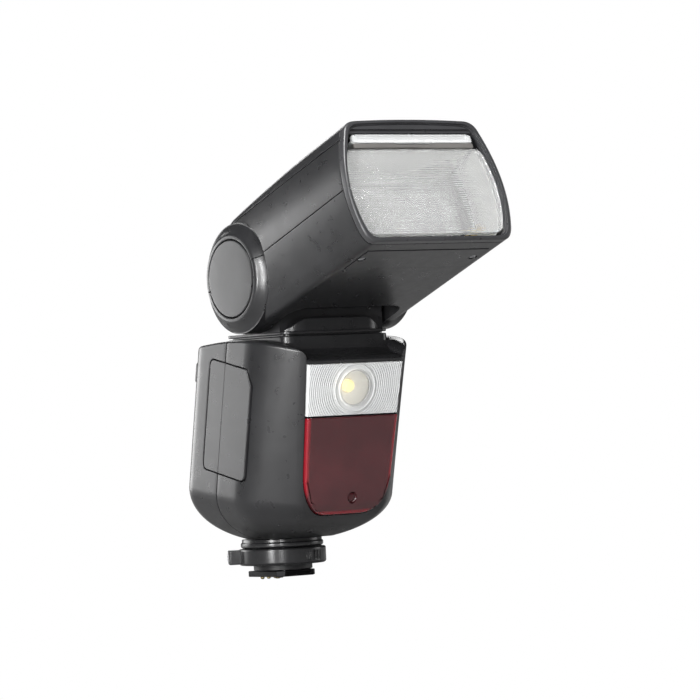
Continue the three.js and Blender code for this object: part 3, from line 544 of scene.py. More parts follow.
# ---------- body form ----------
def body_outline(inset):
    side = BODY_HALF - inset
    front = -BODY_FRONT + inset
    rear = BODY_REAR - inset
    corner = REAR_CORNER - min(inset, 4)
    crease = (FLAT_FRONT - inset / 2, front)
    control = (side - 5, front + 7.5)
    end = (side, front + CORNER_DEPTH)
    from_share, to_share, steps = 0.14, 0.7, 14
    first, last = quadratic(crease, control, end, from_share), quadratic(crease, control, end, to_share)
    half = straight((0, front), (crease[0] - 1.6, front), 8)
    half += bend((crease[0] - 1.6, front), crease, first, 8)
    half += [quadratic(crease, control, end, from_share + 0.56 * i / steps) for i in range(steps)]
    half += bend(last, (side, end[1] - 0.6), (side, end[1] + 6), 12)
    half += straight((side, end[1] + 6), (side, rear - corner), 12)
    half += arc(side - corner, rear - corner, corner, 0, 90, 12)
    half += straight((side - corner - 1, rear), (0, rear), 8)
    half.append((0, rear))
    mirrored = [(-x, y) for x, y in half[-2:0:-1]]
    return half + mirrored


def narrowing(z):
    """The share by which the front and its panels are narrower at a height than at their top."""
    return TAPER * (PANEL_TOP - z)


def body_point(x, y, z, angle=0.0):
    """A point of the body's plan set at a height, drawn in by the front's taper and the bowl's angle."""
    forward = min(max((CORNER_DEPTH - BODY_FRONT - y) / CORNER_DEPTH, 0), 1)
    x *= math.cos(angle) * (1 - forward ** 1.5 * narrowing(z))
    return (x, y * math.cos(angle) + middle_y(z), z)


def crown(y):
    """Height of the case's top over a point from front to rear."""
    if y > CROWN_REAR[0]:
        return CROWN_REAR[1]
    if y < CROWN_FRONT[0]:
        return CROWN_FRONT[1] + FRONT_FALL * (y - CROWN_FRONT[0])
    table = bend(CROWN_REAR, (4, 91.6), CROWN_PEAK, 16) + bend(CROWN_PEAK, (-34, 94.4), CROWN_FRONT, 30)
    table.append(CROWN_FRONT)
    return float(np.interp(-y, [-p[0] for p in table], [p[1] for p in table]))


def wall_foot(y):
    """Height where the bowl of the bottom meets the leaning walls."""
    return ROUND_TOP + BOWL_TILT * y


def bowl_rings(inset):
    """The rings of the rounded bottom, from its lowest face up to where the walls begin."""
    steps = 26
    rings = []
    bottom = BODY_BOTTOM + inset
    for i in range(steps):
        angle = BASE_ANGLE * (1 - i / steps)
        share = 1 - math.sin(angle) / math.sin(BASE_ANGLE)
        ring = []
        for x, y in body_outline(inset):
            ring.append(body_point(x, y, bottom + (wall_foot(y) - bottom) * share, angle))
        rings.append(ring)
    return rings


def plain_form(inset, top):
    """The body's leaning volume, an inset inside its outer face, with a flat top."""
    walls = 8
    rings = bowl_rings(inset)
    for i in range(walls + 1):
        share = i / walls
        ring = []
        for x, y in body_outline(inset):
            foot = wall_foot(y)
            ring.append(body_point(x, y, foot + (top - foot) * share))
        rings.append(ring)
    return stack(rings)


def crowned_form():
    """The whole leaning case volume with its crowned, round-edged top."""
    rings = bowl_rings(0)
    outline = body_outline(0)

    def level(x, y, drop):
        z = 88.0
        for _ in range(6):
            z = crown(y + middle_y(z)) - drop
        return body_point(x, y, z)

    walls = 14
    shoulders = [level(x, y, SHOULDER)[2] for x, y in outline]
    for i in range(walls + 1):
        ring = []
        for (x, y), top in zip(outline, shoulders):
            foot = wall_foot(y)
            ring.append(body_point(x, y, foot + (top - foot) * i / walls))
        rings.append(ring)
    turns = 5
    for i in range(1, turns + 1):
        t = math.pi / 2 * i / turns
        inset = SHOULDER * (1 - math.cos(t))
        rings.append([level(x, y, SHOULDER * (1 - math.sin(t))) for x, y in body_outline(inset)])
    for inset in (4, 8, 12):
        rings.append([level(x, y, 0) for x, y in body_outline(inset)])
    count = len(rings[0])
    vertices = [p for ring in rings for p in ring]
    faces = []
    for k in range(len(rings) - 1):
        for i in range(count):
            j = (i + 1) % count
            faces.append((k * count + i, k * count + j, (k + 1) * count + j, (k + 1) * count + i))
    centre = len(vertices)
    vertices.append((0, NECK_Y, crown(NECK_Y)))
    last = (len(rings) - 1) * count
    for i in range(count):
        faces.append((last + i, last + (i + 1) % count, centre))
    faces.append(tuple(range(count))[::-1])
    return solid(vertices, faces)


def leaning_half(offset, side):
    """Everything in front of, or behind, the leaning plane that lies offset behind the middle line."""
    rings = []
    for z in (-FAR, 2 * FAR):
        near = offset + middle_y(z)
        far = near + side * 2 * FAR
        rings.append([(-FAR, near, z), (FAR, near, z), (FAR, far, z), (-FAR, far, z)])
    return stack(rings)


def neck_outline(shrink):
    return rounded(NECK_HALF - shrink, NECK_DEPTH - shrink, NECK_CORNER - shrink, 0, NECK_Y, 14)


def battery_outline(grow):
    y = BATTERY_DEPTH / 2 + grow
    z = BATTERY_HEIGHT / 2 + grow
    low, high = (-y + CHAMFER * 0.6, z), (-y, z - CHAMFER)
    round_off = 3
    points = bend((-y, z - CHAMFER - 1), high, (-y + 0.5, z - CHAMFER + 0.85), 4)
    points += bend((low[0] - 0.5, z - 0.85), low, (low[0] + 1, z), 4)
    points += bend((y - round_off, z), (y, z), (y, z - round_off), 8)
    points += bend((y, -z + round_off), (y, -z), (y - round_off, -z), 8)
    points += bend((-y + round_off, -z), (-y, -z), (-y, -z + round_off), 8)
    return points


def panel_half(z, grow=0.0):
    return (PANEL_HALF + grow) * (1 - narrowing(z))


def panel_outline(low, high, grow, corner):
    top, bottom, rise = high + grow, low - grow, corner * PANEL_RISE
    width, foot, side = panel_half(top, grow), panel_half(bottom, grow), panel_half(bottom + rise, grow)
    points = [(width, top), (-width, top)]
    points += bend((-side, bottom + rise), (-foot, bottom), (-foot + corner, bottom), 18)
    points += bend((foot - corner, bottom), (foot, bottom), (side, bottom + rise), 18)
    points.append((side, bottom + rise))
    return points


# ---------- rear controls: positions in the rear frame, x to the right and z up ----------
DISPLAY_HALF, DISPLAY_TALL, DISPLAY_Z = 20.5, 14, 12
FUNCTION_X, FUNCTION_Z = (-15.6, -5.2, 5.2, 15.6), -7.4
DIAL_Z, DIAL_OUTER, DIAL_INNER, DIAL_STAND = -24, 11, 6.6, 1.8
SIDE_KEYS = {"mode_key": (-21, -19), "menu_key": (21, -19)}
TEST_KEY, SWITCH, RELEASE = (-21, -30.5), (21, -30.5), (-29.2, 22)
PORT_Y, PORT_Z, PORT_HALF, PORT_TALL = 14, -18, 5.5, 9


def key_outline(width, height, x, z):
    return rounded(width / 2, height / 2, min(width, height) * 0.35, x, z)


def rear_openings():
    deep = (-6, 3, REAR_FRAME)
    display = rounded(DISPLAY_HALF + GAP, DISPLAY_TALL + GAP, 1.5, 0, DISPLAY_Z)
    holes = [
        prism("y", display, *deep),
        rod("y", DIAL_OUTER + GAP, -6, 3, (0, DIAL_Z), REAR_FRAME),
        prism("y", key_outline(7.6, 7.6, *TEST_KEY), *deep),
        prism("y", key_outline(4.6, 9.6, *SWITCH), *deep),
        prism("y", key_outline(5.6, 9.6, *RELEASE), *deep),
    ]
    holes += [prism("y", key_outline(8.6, 4.6, x, FUNCTION_Z), *deep) for x in FUNCTION_X]
    holes += [prism("y", key_outline(7.6, 4.6, x, z), *deep) for x, z in SIDE_KEYS.values()]
    return holes


# ---------- cases ----------
def deck_hollow():
    """The hollow between the cheeks, whose rims are rolled outward."""
    profile = [(DECK_REAR, 104), (DECK_REAR, 88.7)]
    profile += bend((DECK_REAR, 88.7), (-47.5, 85.6), (-52.5, 84.9), 16)
    profile += bend((-52.5, 84.9), (-55.9, 84.6), (-56.3, 82), 12)
    profile += [(-56.3, 82), (-70, 81.6), (-70, 104)]
    trough = prism("x", profile, -40, 40)
    roll = 4.2
    inner = PANEL_HALF + GAP
    rings = []
    steps = 14
    for i in range(steps + 1):
        y = -72 + 26.5 * i / steps
        top = crown(y) - 0.02
        right = [(inner, 60), (inner, top - roll)]
        right += arc(inner + roll, top - roll, roll, 180, 92, 10)[1:]
        right += [(inner + roll + 0.4, top + 0.6), (inner + roll + 0.4, 110)]
        left = [(-x, z) for x, z in reversed(right)]
        rings.append([(x, y, z) for x, z in right + left])
    return within(trough, stack(rings))


def case_shell():
    shell = crowned_form()
    hollow = plain_form(WALL, ROOF)
    cut(hollow, block((-40, -80, DECK_CEILING), (40, DECK_RISER, 100)))
    cut(shell, hollow)
    cut(shell, prism("z", neck_outline(-GAP), NECK_BOTTOM - GAP, 100))
    cut(shell, rod("z", 8, 80, 100, (0, NECK_Y)), rod("z", 7, 10, 20, (0, -2)))
    return cut(shell, deck_hollow())


def battery_hole():
    return prism("x", battery_outline(GAP), -40, -25, BATTERY_FRAME)


def make_cases():
    shell = case_shell()
    rear = within(duplicate(shell), leaning_half(SEAM + GAP / 2, 1))
    front = within(shell, leaning_half(SEAM - GAP / 2, -1))
    rebate = prism("y", panel_outline(PANEL_BOTTOM, PANEL_TOP, GAP, PANEL_CORNER), -FAR, -21.3)
    cut(rebate, plain_form(1.5, 95))
    lamp_hole = block((-19, -70, PANEL_SPLIT + 1.6), (19, middle_y(70), PANEL_TOP - 1.6))
    red_hole = block((-17, -70, PANEL_BOTTOM + 8), (17, middle_y(40) - 10, PANEL_SPLIT - 1.6))
    cut(front, rebate, lamp_hole, red_hole, battery_hole())
    cut(rear, *rear_openings())
    port = rounded(PORT_HALF + GAP, PORT_TALL + GAP, 2, PORT_Y, PORT_Z)
    cut(rear, battery_hole(), prism("x", port, BODY_HALF - 4, BODY_HALF + 4, BATTERY_FRAME))
    finish_piece(front, "front_case_shell", "body", ["front_case"], CASE)
    finish_piece(rear, "rear_case_shell", "body", ["rear_case"], CASE)


# ---------- front window and red panel ----------
def plate(rows, columns, half_at, front, back, matrix):
    """A plate over a grid of heights and shares of the half width; front and back give its faces' depths."""
    count, wide = len(rows), len(columns)
    outer, inner = [], []
    for z in rows:
        half = half_at(z)
        for share in columns:
            x = share * half
            outer.append((x, front(x, z, share), z))
            inner.append((x, back(x, z), z))
    offset = count * wide
    faces = []
    for r in range(count - 1):
        for c in range(wide - 1):
            a, b = r * wide + c, r * wide + c + 1
            faces.append((a, b, b + wide, a + wide))
            faces.append((offset + a + wide, offset + b + wide, offset + b, offset + a))
    rim = list(range(wide)) + [r * wide + wide - 1 for r in range(1, count)]
    rim += [(count - 1) * wide + c for c in range(wide - 2, -1, -1)]
    rim += [r * wide for r in range(count - 2, 0, -1)]
    for i, a in enumerate(rim):
        b = rim[(i + 1) % len(rim)]
        faces.append((b, a, offset + a, offset + b))
    return solid(outer + inner, faces, matrix)


LENS_RADIUS, RING_RADIUS, ARC_PITCH = 7.1, 9.4, 0.95


def window_dome(r):
    return 1.4 * (1 - (r / LENS_RADIUS) ** 2) if r < LENS_RADIUS else 0


def window_front(x, z, share):
    """The outer face: a dome over the lamp in thin raised rings, and fine concentric grooves."""
    r = math.hypot(x, z)
    rim = 0.45 * math.exp(-((r - LENS_RADIUS) / 0.28) ** 2)
    ring = 0.3 * math.exp(-((r - RING_RADIUS) / 0.3) ** 2)
    groove = 0.2 * abs((r / ARC_PITCH) % 1.0 - 0.5) * 2 if r > RING_RADIUS else 0
    edge = 0.4 * max(0, (abs(share) - 0.975) / 0.025) ** 2
    return -0.85 - window_dome(r) - rim - ring + groove + edge


def window_back(x, z):
    return 1.0 - window_dome(math.hypot(x, z)) * 1.2


def make_window():
    low = (PANEL_SPLIT + 0.4 - LAMP_Z) / math.cos(LEAN)
    high = (PANEL_TOP - LAMP_Z) / math.cos(LEAN)

    def half_at(z):
        return panel_half(LAMP_Z + z * math.cos(LEAN))

    window = plate(np.linspace(low, high, 130), np.linspace(-1, 1, 281), half_at,
                   window_front, window_back, FRONT_FRAME)
    finish_piece(window, "front_window", "body", ["led_window"], MILKY, edge=0, shading=24)


def make_red_panel():
    skin = plain_form(-1.3, 96)
    cut(skin, plain_form(1.2, 97))
    outline = panel_outline(PANEL_BOTTOM, PANEL_SPLIT - 0.4, 0, PANEL_CORNER)
    panel = within(skin, prism("y", outline, -FAR, -21.3))
    eye = leaning(middle_y(30.5) - BODY_FRONT, 30.5) @ Matrix.Translation((2.4, 0, 0))
    cut(panel, rod("y", 1.9, -3, -0.75, (0, 0), eye, 48))
    lens = turned([(0, -1.15), (1.1, -1.1), (1.7, -0.9), (1.7, -0.5), (0, -0.5)], "y", eye, 48)
    finish_piece(lens, "receiver_eye", "body", [], RED_EYE, edge=0)
    finish_piece(panel, "red_front_panel", "body", ["red_panel"], RED, edge=0.55, segments=3)


LAMP_SEAT, BOWL_RADIUS = 4.4, 8.2


def make_lamp():
    inward = FRONT_FRAME @ Matrix.Translation((0, LAMP_SEAT, 0))
    steps, throat, depth = 12, 2.9, 2.1
    curve = []
    for i in range(steps + 1):
        share = i / steps
        curve.append((throat + (BOWL_RADIUS - throat) * share ** 0.8, -depth * share ** 1.6))
    bowl = curve + [(BOWL_RADIUS + 0.3, -depth), (BOWL_RADIUS + 0.3, 0.4 - depth)]
    bowl += [(r, y + 0.4) for r, y in curve[::-1]]
    cup = turned(bowl, "y", inward)
    # the bowl's material carries a painted glow, since the bowl is no lamp
    finish_piece(cup, "lamp_bowl", "body", ["led_bowl"], BOWL, edge=0, shading=50)
    chip = turned([(0, -2.2), (1.2, -2.15), (1.9, -1.85), (2.3, -1.3), (2.3, 0.5), (0, 0.5)], "y", inward)
    finish_piece(chip, "lamp_emitter", "body", ["led_chip"], LAMP, edge=0.1)
    back = LAMP_SEAT + 0.8
    circuit = prism("y", rounded(14, 8, 1), back, back + 1.4, FRONT_FRAME)
    for x in (-11, 11):
        join(circuit, rod("y", 1.5, back - 0.6, back + 0.2, (x, 5), FRONT_FRAME, 24))
        join(circuit, block((x - 1, back - 0.5, -6), (x + 1, back + 0.2, -3.5), FRONT_FRAME))
    finish_piece(circuit, "lamp_circuit", "body", ["led_board"], WHITE_BOARD, edge=0.15)
    tray = prism("y", rounded(18.6, 8.6, 2.5, 0, -0.5), -2.6, 0.6, inward)
    cut(tray, prism("y", rounded(17.8, 7.9, 2, 0, -0.5), -4, -1.4, inward))
    cut(tray, rod("y", 8.9, -8, 2, (0, 0), inward, 96))
    finish_piece(tray, "lamp_tray", "body", [], CARD, edge=0.25)


# ---------- battery ----------
def make_battery():
    start = -BODY_HALF + 2
    pack = prism("x", battery_outline(0), -BODY_HALF - 0.05, -BODY_HALF + 2.2, BATTERY_FRAME)
    soften(pack, 0.35)
    join(pack, prism("x", battery_outline(-1.8), start, start + BATTERY_LENGTH, BATTERY_FRAME))
    line_y = SEAM + middle_y(BATTERY_Z) - BATTERY_Y
    seam = block((-BODY_HALF - 1, line_y - 0.12, -30), (-BODY_HALF + 0.22, line_y + 0.12, 30), BATTERY_FRAME)
    cut(pack, seam)
    finish_piece(pack, "battery_pack", "battery", ["battery"], CASE, edge=0.08, segments=1)


def make_port_cover():
    face = (BODY_HALF - 1.6, BODY_HALF + 0.35)
    cover = prism("x", rounded(PORT_HALF, PORT_TALL, 1.8, PORT_Y, PORT_Z), *face, BATTERY_FRAME)
    notch = (BODY_HALF + 2.4, PORT_Z + PORT_TALL - 2.2)
    cut(cover, rod("y", 2.6, PORT_Y - 3.5, PORT_Y + 3.5, notch, BATTERY_FRAME))
    for i in range(3):
        z = PORT_Z - 5 + 2.2 * i
        rib = rounded(3, 0.4, 0.38, PORT_Y, z, 4)
        join(cover, prism("x", rib, BODY_HALF, BODY_HALF + 0.6, BATTERY_FRAME))
    finish_piece(cover, "port_flap", "port_cover", ["port_cover"], RUBBER, edge=0.25)


# ---------- rear controls ----------
MARK_BACK, MARK_FACE = -2.1, -1.9
KEY_BACK, KEY_FACE = -3.6, 1.1


def make_display():
    window = prism("y", rounded(DISPLAY_HALF, DISPLAY_TALL, 1.3, 0, DISPLAY_Z), -1.4, -0.15, REAR_FRAME)
    finish_piece(window, "display_glass", "body", ["display_window"], CLEAR, edge=0.2)
    half, tall = DISPLAY_HALF - 1, DISPLAY_TALL - 1
    screen = block((-half, -4.4, DISPLAY_Z - tall), (half, -2.0, DISPLAY_Z + tall), REAR_FRAME)
    finish_piece(screen, "display_screen", "body", ["display"], SCREEN, edge=0.3)
    marks = None
    top, scale, foot = 9.2, -6, -10
    bars = [(-17, top, 4.5, 1.4), (-11, top, 3, 1.4), (12.6, top, 4.4, 2.2)]
    bars += [(-17, foot, 6, 1.2), (-6.5, foot, 6, 1.2), (4, foot, 6, 1.2), (13, foot, 4.5, 1.2)]
    bars += [(-14 + 2.3 * i, scale, 1.5, 1.6) for i in range(13)]
    for x, z, width, height in bars:
        low = (x, MARK_BACK, DISPLAY_Z + z)
        bar = block(low, (x + width, MARK_FACE, DISPLAY_Z + z + height), REAR_FRAME)
        marks = bar if marks is None else join(marks, bar)
    for x, lit in ((-7.4, (0, 1, 2, 3, 4, 5, 6)), (1.2, (0, 2, 3, 5, 6))):
        marks = join(marks, *seven_segments(x, DISPLAY_Z - 1.8, lit))
    finish_piece(marks, "display_marks", "body", [], DARK, edge=0)


def seven_segments(x, z, lit):
    """The bars of one digit whose lower left corner is at x, z."""
    wide, tall, thick = 5.4, 4.6, 0.95
    places = [(0, 0, 1), (0, tall, 1), (0, 2 * tall, 1)]
    places += [(0, 0, 0), (wide, 0, 0), (0, tall, 0), (wide, tall, 0)]
    bars = []
    for i in lit:
        dx, dz, level = places[i]
        size = (wide - 0.4, thick) if level else (thick, tall - 0.4)
        low = (x + dx + (0.6 if level else -0.1), MARK_BACK, z + dz + (0 if level else 0.75))
        bars.append(block(low, (low[0] + size[0] - 0.6, MARK_FACE, low[2] + size[1] - 0.4), REAR_FRAME))
    return bars


def key(name, width, height, x, z, mark, material=SATIN, slot="satin_black"):
    """A key cap with a dished face and a small raised mark."""
    cap = prism("y", key_outline(width, height, x, z), KEY_BACK, KEY_FACE, REAR_FRAME)
    soften(cap, 0.4, 3)
    dish = turned([(0, 0.75), (1.4, 0.82), (min(width, height) * 0.36, 1.3), (0, 1.3)], "y",
                  REAR_FRAME @ Matrix.Translation((x, 0, z)), 48)
    cut(cap, dish)
    low, high = 0.5, 0.98
    if mark == "bar":
        join(cap, prism("y", rounded(1.3, 0.22, 0.2, x, z, 4), low, high, REAR_FRAME))
    elif mark == "dot":
        join(cap, rod("y", 0.45, low, high, (x, z), REAR_FRAME, 24))
    elif mark == "pair":
        for rise in (0.45, -0.45):
            join(cap, prism("y", rounded(0.9, 0.2, 0.18, x, z + rise, 4), low, high, REAR_FRAME))
    finish_piece(cap, name + "_cap", name, [name], material, edge=0.06, segments=1)


def make_rear_controls():
    make_display()
    for i, x in enumerate(FUNCTION_X):
        key(f"function_key_{i + 1}", 8, 4, x, FUNCTION_Z, "bar")
    key("mode_key", 7, 4, *SIDE_KEYS["mode_key"], "pair")
    key("menu_key", 7, 4, *SIDE_KEYS["menu_key"], "dot")
    key("test_key", 7, 7, *TEST_KEY, "dot", RED_KEY, "red_plastic")
    make_dial()
    knob = prism("y", key_outline(4, 5.6, SWITCH[0], SWITCH[1] + 1.6), -3, 0.9, REAR_FRAME)
    soften(knob, 0.3)
    for i in range(3):
        z = SWITCH[1] + 0.5 + 1.1 * i
        join(knob, block((SWITCH[0] - 1.4, 0.5, z - 0.25), (SWITCH[0] + 1.4, 1.4, z + 0.25), REAR_FRAME))
    finish_piece(knob, "power_slider", "power_switch", ["power_switch"], SATIN, edge=0.12)
    latch = prism("y", key_outline(5, 9, *RELEASE), -2.6, 0.6, REAR_FRAME)
    soften(latch, 0.3)
    for i in range(5):
        z = RELEASE[1] - 2.6 + 1.3 * i
        cut(latch, block((RELEASE[0] - 1.6, 0.25, z - 0.2), (RELEASE[0] + 1.6, 2, z + 0.2), REAR_FRAME))
    nodes = ["battery_release"]
    finish_piece(latch, "battery_latch", "battery_release", nodes, DARK, edge=0.08)


def make_dial():
    hub = REAR_FRAME @ Matrix.Translation((0, 0, DIAL_Z))
    rim = [(DIAL_INNER, KEY_BACK), (DIAL_OUTER, KEY_BACK)]
    rim += [(DIAL_OUTER, KEY_FACE), (DIAL_OUTER - 0.5, DIAL_STAND)]
    rim += [(DIAL_INNER + 0.7, DIAL_STAND), (DIAL_INNER, 1.2)]
    dial = turned(rim, "y", hub, 144)
    notches = 36
    for i in range(notches):
        t = 2 * math.pi * i / notches
        centre = ((DIAL_OUTER + 0.1) * math.cos(t), (DIAL_OUTER + 0.1) * math.sin(t))
        cut(dial, rod("y", 0.42, 0.2, DIAL_STAND + 1, centre, hub, 12))
    for i in range(4):
        t = math.pi / 2 * i
        spin = hub @ Matrix.Rotation(t, 4, "Y")
        mark = prism("y", [(-0.8, 8.1), (0.8, 8.1), (0, 9.3)], DIAL_STAND - 0.35, DIAL_STAND + 1, spin)
        cut(dial, mark)
    nodes = ["control_dial"]
    finish_piece(dial, "dial_ring", "control_dial", nodes, SATIN, edge=0.08, segments=1)
    top, radius = DIAL_STAND - 0.5, DIAL_INNER - GAP
    button = [(0, KEY_BACK), (radius, KEY_BACK), (radius, top - 0.5), (radius - 0.5, top)]
    button += [(4.2, top - 0.15), (2, top - 0.45), (0, top - 0.5)]
    button = turned(button, "y", hub)
    finish_piece(button, "set_button", "set_key", ["set_key"], DARK, edge=0.12)


# ---------- foot ----------
FOOT_HALF, FOOT_DEPTH, FOOT_THICK, FOOT_NOTCH = 9.3, 11, 2.3, 2.6
RING_OUTER, RING_BORE, RING_BOTTOM, RING_TOP = 17.2, 12.2, 4.7, 11.2
COLLAR_RADIUS, COLLAR_BOTTOM, COLLAR_TOP = 16.3, 11.5, 14.9
SPACER_RADIUS, SPACER_TOP = 11.6, 4.4
PIN_RADIUS, PIN_DROP, LOCK_PIN = 0.8, 1.2, (-4.8, -7.6)
CONTACTS = [(0, 4, 1.2), (-4.6, 8, 0.8), (-1.6, 8, 0.8), (1.6, 8, 0.8), (4.6, 8, 0.8)]
TAB_ANGLE, TAB_REACH, TAB_HALF = math.radians(150), 21.4, 3.4


def make_foot():
    w, d, n = FOOT_HALF, FOOT_DEPTH, FOOT_NOTCH
    outline = [(-w + n, -d), (w - n, -d), (w, -d + n), (w, d), (-w, d), (-w, -d + n)]
    plate = prism("z", outline, 0, FOOT_THICK)
    soften(plate, 0.25)
    cut(plate, block((-w + n + 1, -d - 1, 0.8), (w - n - 1, -d + 0.7, 1.6)))
    cut(plate, rod("z", PIN_RADIUS + GAP, -1, 4, LOCK_PIN), block((-6.4, 1.9, 0.5), (6.4, 10, 4)))
    for x, y, radius in CONTACTS:
        cut(plate, rod("z", radius + GAP, -1, 1, (x, y), None, 32))
    finish_piece(plate, "shoe_plate", "body", ["foot_plate"], FOOT_METAL, edge=0.08, segments=1)
    carrier = block((-5.8, 2.3, 0.9), (5.8, 9.6, 1.9))
    finish_piece(carrier, "contact_carrier", "body", ["foot_contacts"], DARK, edge=0.12)
    pins = None
    for x, y, r in CONTACTS:
        profile = [(0, -PIN_DROP), (r * 0.5, -PIN_DROP + 0.05), (r * 0.85, -PIN_DROP + 0.25)]
        profile += [(r, -0.7), (r, 0.8), (0, 0.8)]
        pin = turned(profile, "z", Matrix.Translation((x, y, 0)), 32)
        pins = pin if pins is None else join(pins, pin)
    finish_piece(pins, "contact_pins", "body", [], BRASS, edge=0)
    wide, narrow = SPACER_RADIUS, RING_BORE - 0.5
    base = [(0, FOOT_THICK + 0.15), (wide - 0.3, FOOT_THICK + 0.15), (wide, FOOT_THICK + 0.45)]
    base += [(wide, SPACER_TOP - 0.3), (wide + 0.1, SPACER_TOP), (narrow, SPACER_TOP)]
    base += [(narrow, COLLAR_BOTTOM - 0.2), (0, COLLAR_BOTTOM - 0.2)]
    spacer = cut(turned(base), rod("z", PIN_RADIUS + GAP, 0, 14, LOCK_PIN, None, 32))
    finish_piece(spacer, "foot_spacer_ring", "body", ["foot_spacer"], DARK, edge=0.1)
    outer, bottom, top = COLLAR_RADIUS, COLLAR_BOTTOM, COLLAR_TOP
    profile = [(0, bottom), (outer - 0.6, bottom), (outer, bottom + 0.5)]
    profile += [(outer, top - 1.6), (outer - 0.5, top - 1.25), (outer - 0.5, top), (0, top)]
    ring = cut(turned(profile, segments=128), rod("z", PIN_RADIUS + 1.2, 10, 13.6, LOCK_PIN, None, 32))
    finish_piece(ring, "neck_collar", "body", ["foot_collar"], SATIN, edge=0.18)
    make_lock_ring()
    profile = [(0, 0.3), (0.45, 0.32), (PIN_RADIUS, 0.7)]
    profile += [(PIN_RADIUS, 12.7), (PIN_RADIUS - 0.3, 13), (0, 13)]
    pin = turned(profile, "z", Matrix.Translation((*LOCK_PIN, 0)), 32)
    finish_piece(pin, "shoe_lock_pin", "locking_pin", ["locking_pin"], STEEL, edge=0)


def make_lock_ring():
    bottom, top, outer = RING_BOTTOM, RING_TOP, RING_OUTER
    profile = [(RING_BORE, bottom), (outer - 1.1, bottom)] + arc(outer - 1.1, bottom + 1.1, 1.1, -90, 0, 6)
    profile += arc(outer - 0.7, top - 0.7, 0.7, 0, 90, 5) + [(RING_BORE, top)]
    band = turned(profile, segments=160)
    tab_frame = Matrix.Rotation(TAB_ANGLE, 4, "Z")
    tab = prism("z", rounded(3.2, TAB_HALF, 0.9, TAB_REACH - 3.2, 0), bottom + 0.6, top - 0.3, tab_frame)
    soften(tab, 0.3)
    low = (outer + 0.6, -TAB_HALF + 1, bottom + 1.4)
    pocket = block(low, (TAB_REACH + 1, TAB_HALF - 1, top - 1.4), tab_frame)
    join(band, tab)
    cut(band, pocket)
    for i in range(-4, 5):
        spin = Matrix.Rotation(math.radians(-78 + 3.4 * i), 4, "Z")
        cut(band, block((outer - 0.25, -0.22, bottom + 1.6), (outer + 1, 0.22, top - 1.4), spin))
    finish_piece(band, "lock_collar", "lock_ring", ["lock_ring"], SATIN, edge=0.15)
    low = (outer + 1.6, -TAB_HALF + 1 + GAP, bottom + 1.4 + GAP)
    button = block(low, (TAB_REACH + 0.3, TAB_HALF - 1 - GAP, top - 1.4 - GAP), tab_frame)
    soften(button, 0.3)
    for i in (-1, 0, 1):
        z = (bottom + top) / 2 + 1.1 * i
        cut(button, block((TAB_REACH, -3, z - 0.18), (TAB_REACH + 1, 3, z + 0.18), tab_frame))
    nodes = ["lock_button"]
    finish_piece(button, "lock_release", "lock_button", nodes, GREY, edge=0.06, segments=1)


# ---------- neck ----------
def make_neck():
    base = prism("z", neck_outline(0), NECK_BOTTOM, NECK_TOP)
    soften(base, 0.5, 3)
    cut(base, rod("z", 14.2, 80, 100, (0, NECK_Y)), rod("z", 17.3, 80, 91.2, (0, NECK_Y)))
    finish_piece(base, "neck_plinth", "body", ["neck_base"], CASE, edge=0)
    make_yoke()


def make_saddle():
    """The low block under the drum: rounded in plan, its top edge soft and falling to both sides."""
    rings = []
    steps = 6
    for i in range(steps + 1):
        t = math.pi / 2 * i / steps
        inset, drop = 0.7 * (1 - math.cos(t)), 0.7 * (1 - math.sin(t))
        ring = []
        plan = rounded(SADDLE_HALF - inset, SADDLE_DEPTH - inset, SADDLE_CORNER - inset, 0, SADDLE_Y, 14)
        for x, y in plan:
            share = min(max((abs(x) - SADDLE_HALF + SADDLE_FALL) / SADDLE_FALL, 0), 1)
            top = SADDLE_TOP + (FLANGE_TOP + 0.6 - SADDLE_TOP) * share * share * (3 - 2 * share)
            ring.append((x, y, top - drop))
        rings.append(ring)
    plan = [(x, y, FLANGE_BOTTOM + 0.4) for x, y, _ in rings[0]]
    return stack([plan] + rings)


def make_yoke():
    flange = prism("z", neck_outline(0), FLANGE_BOTTOM, FLANGE_TOP)
    soften(flange, 0.35, 3)
    half = DRUM_HALF - 0.2
    pedestal = block((-half, PIVOT.y - 12, FLANGE_TOP - 0.5), (half, PIVOT.y + 12, PIVOT.z))
    drum = rod("x", DRUM_RADIUS, -DRUM_HALF, DRUM_HALF, (PIVOT.y, PIVOT.z), None, 160)
    soften(drum, 0.4, 3)
    tube = rod("z", 13.9, 89.5, FLANGE_BOTTOM + 0.2, (0, NECK_Y), None, 96)
    gasket = prism("z", neck_outline(1.6), NECK_TOP + 0.12, FLANGE_BOTTOM + 0.2)
    yoke = join(flange, gasket, tube, make_saddle(), pedestal, drum)
    cut(yoke, rod("x", AXLE + GAP, -40, 40, (PIVOT.y, PIVOT.z)), rod("z", 6, 80, PIVOT.z - 6, (0, NECK_Y)))
    for angle in (-64, -30, 30):
        spin = Matrix.Translation(PIVOT) @ Matrix.Rotation(math.radians(angle), 4, "X")
        cut(yoke, block((-0.3, -DRUM_RADIUS - 1, -0.2), (0.3, -DRUM_RADIUS + 0.6, 3.4), spin))
    finish_piece(yoke, "swivel_yoke", "yoke", ["yoke"], CASE, edge=0)


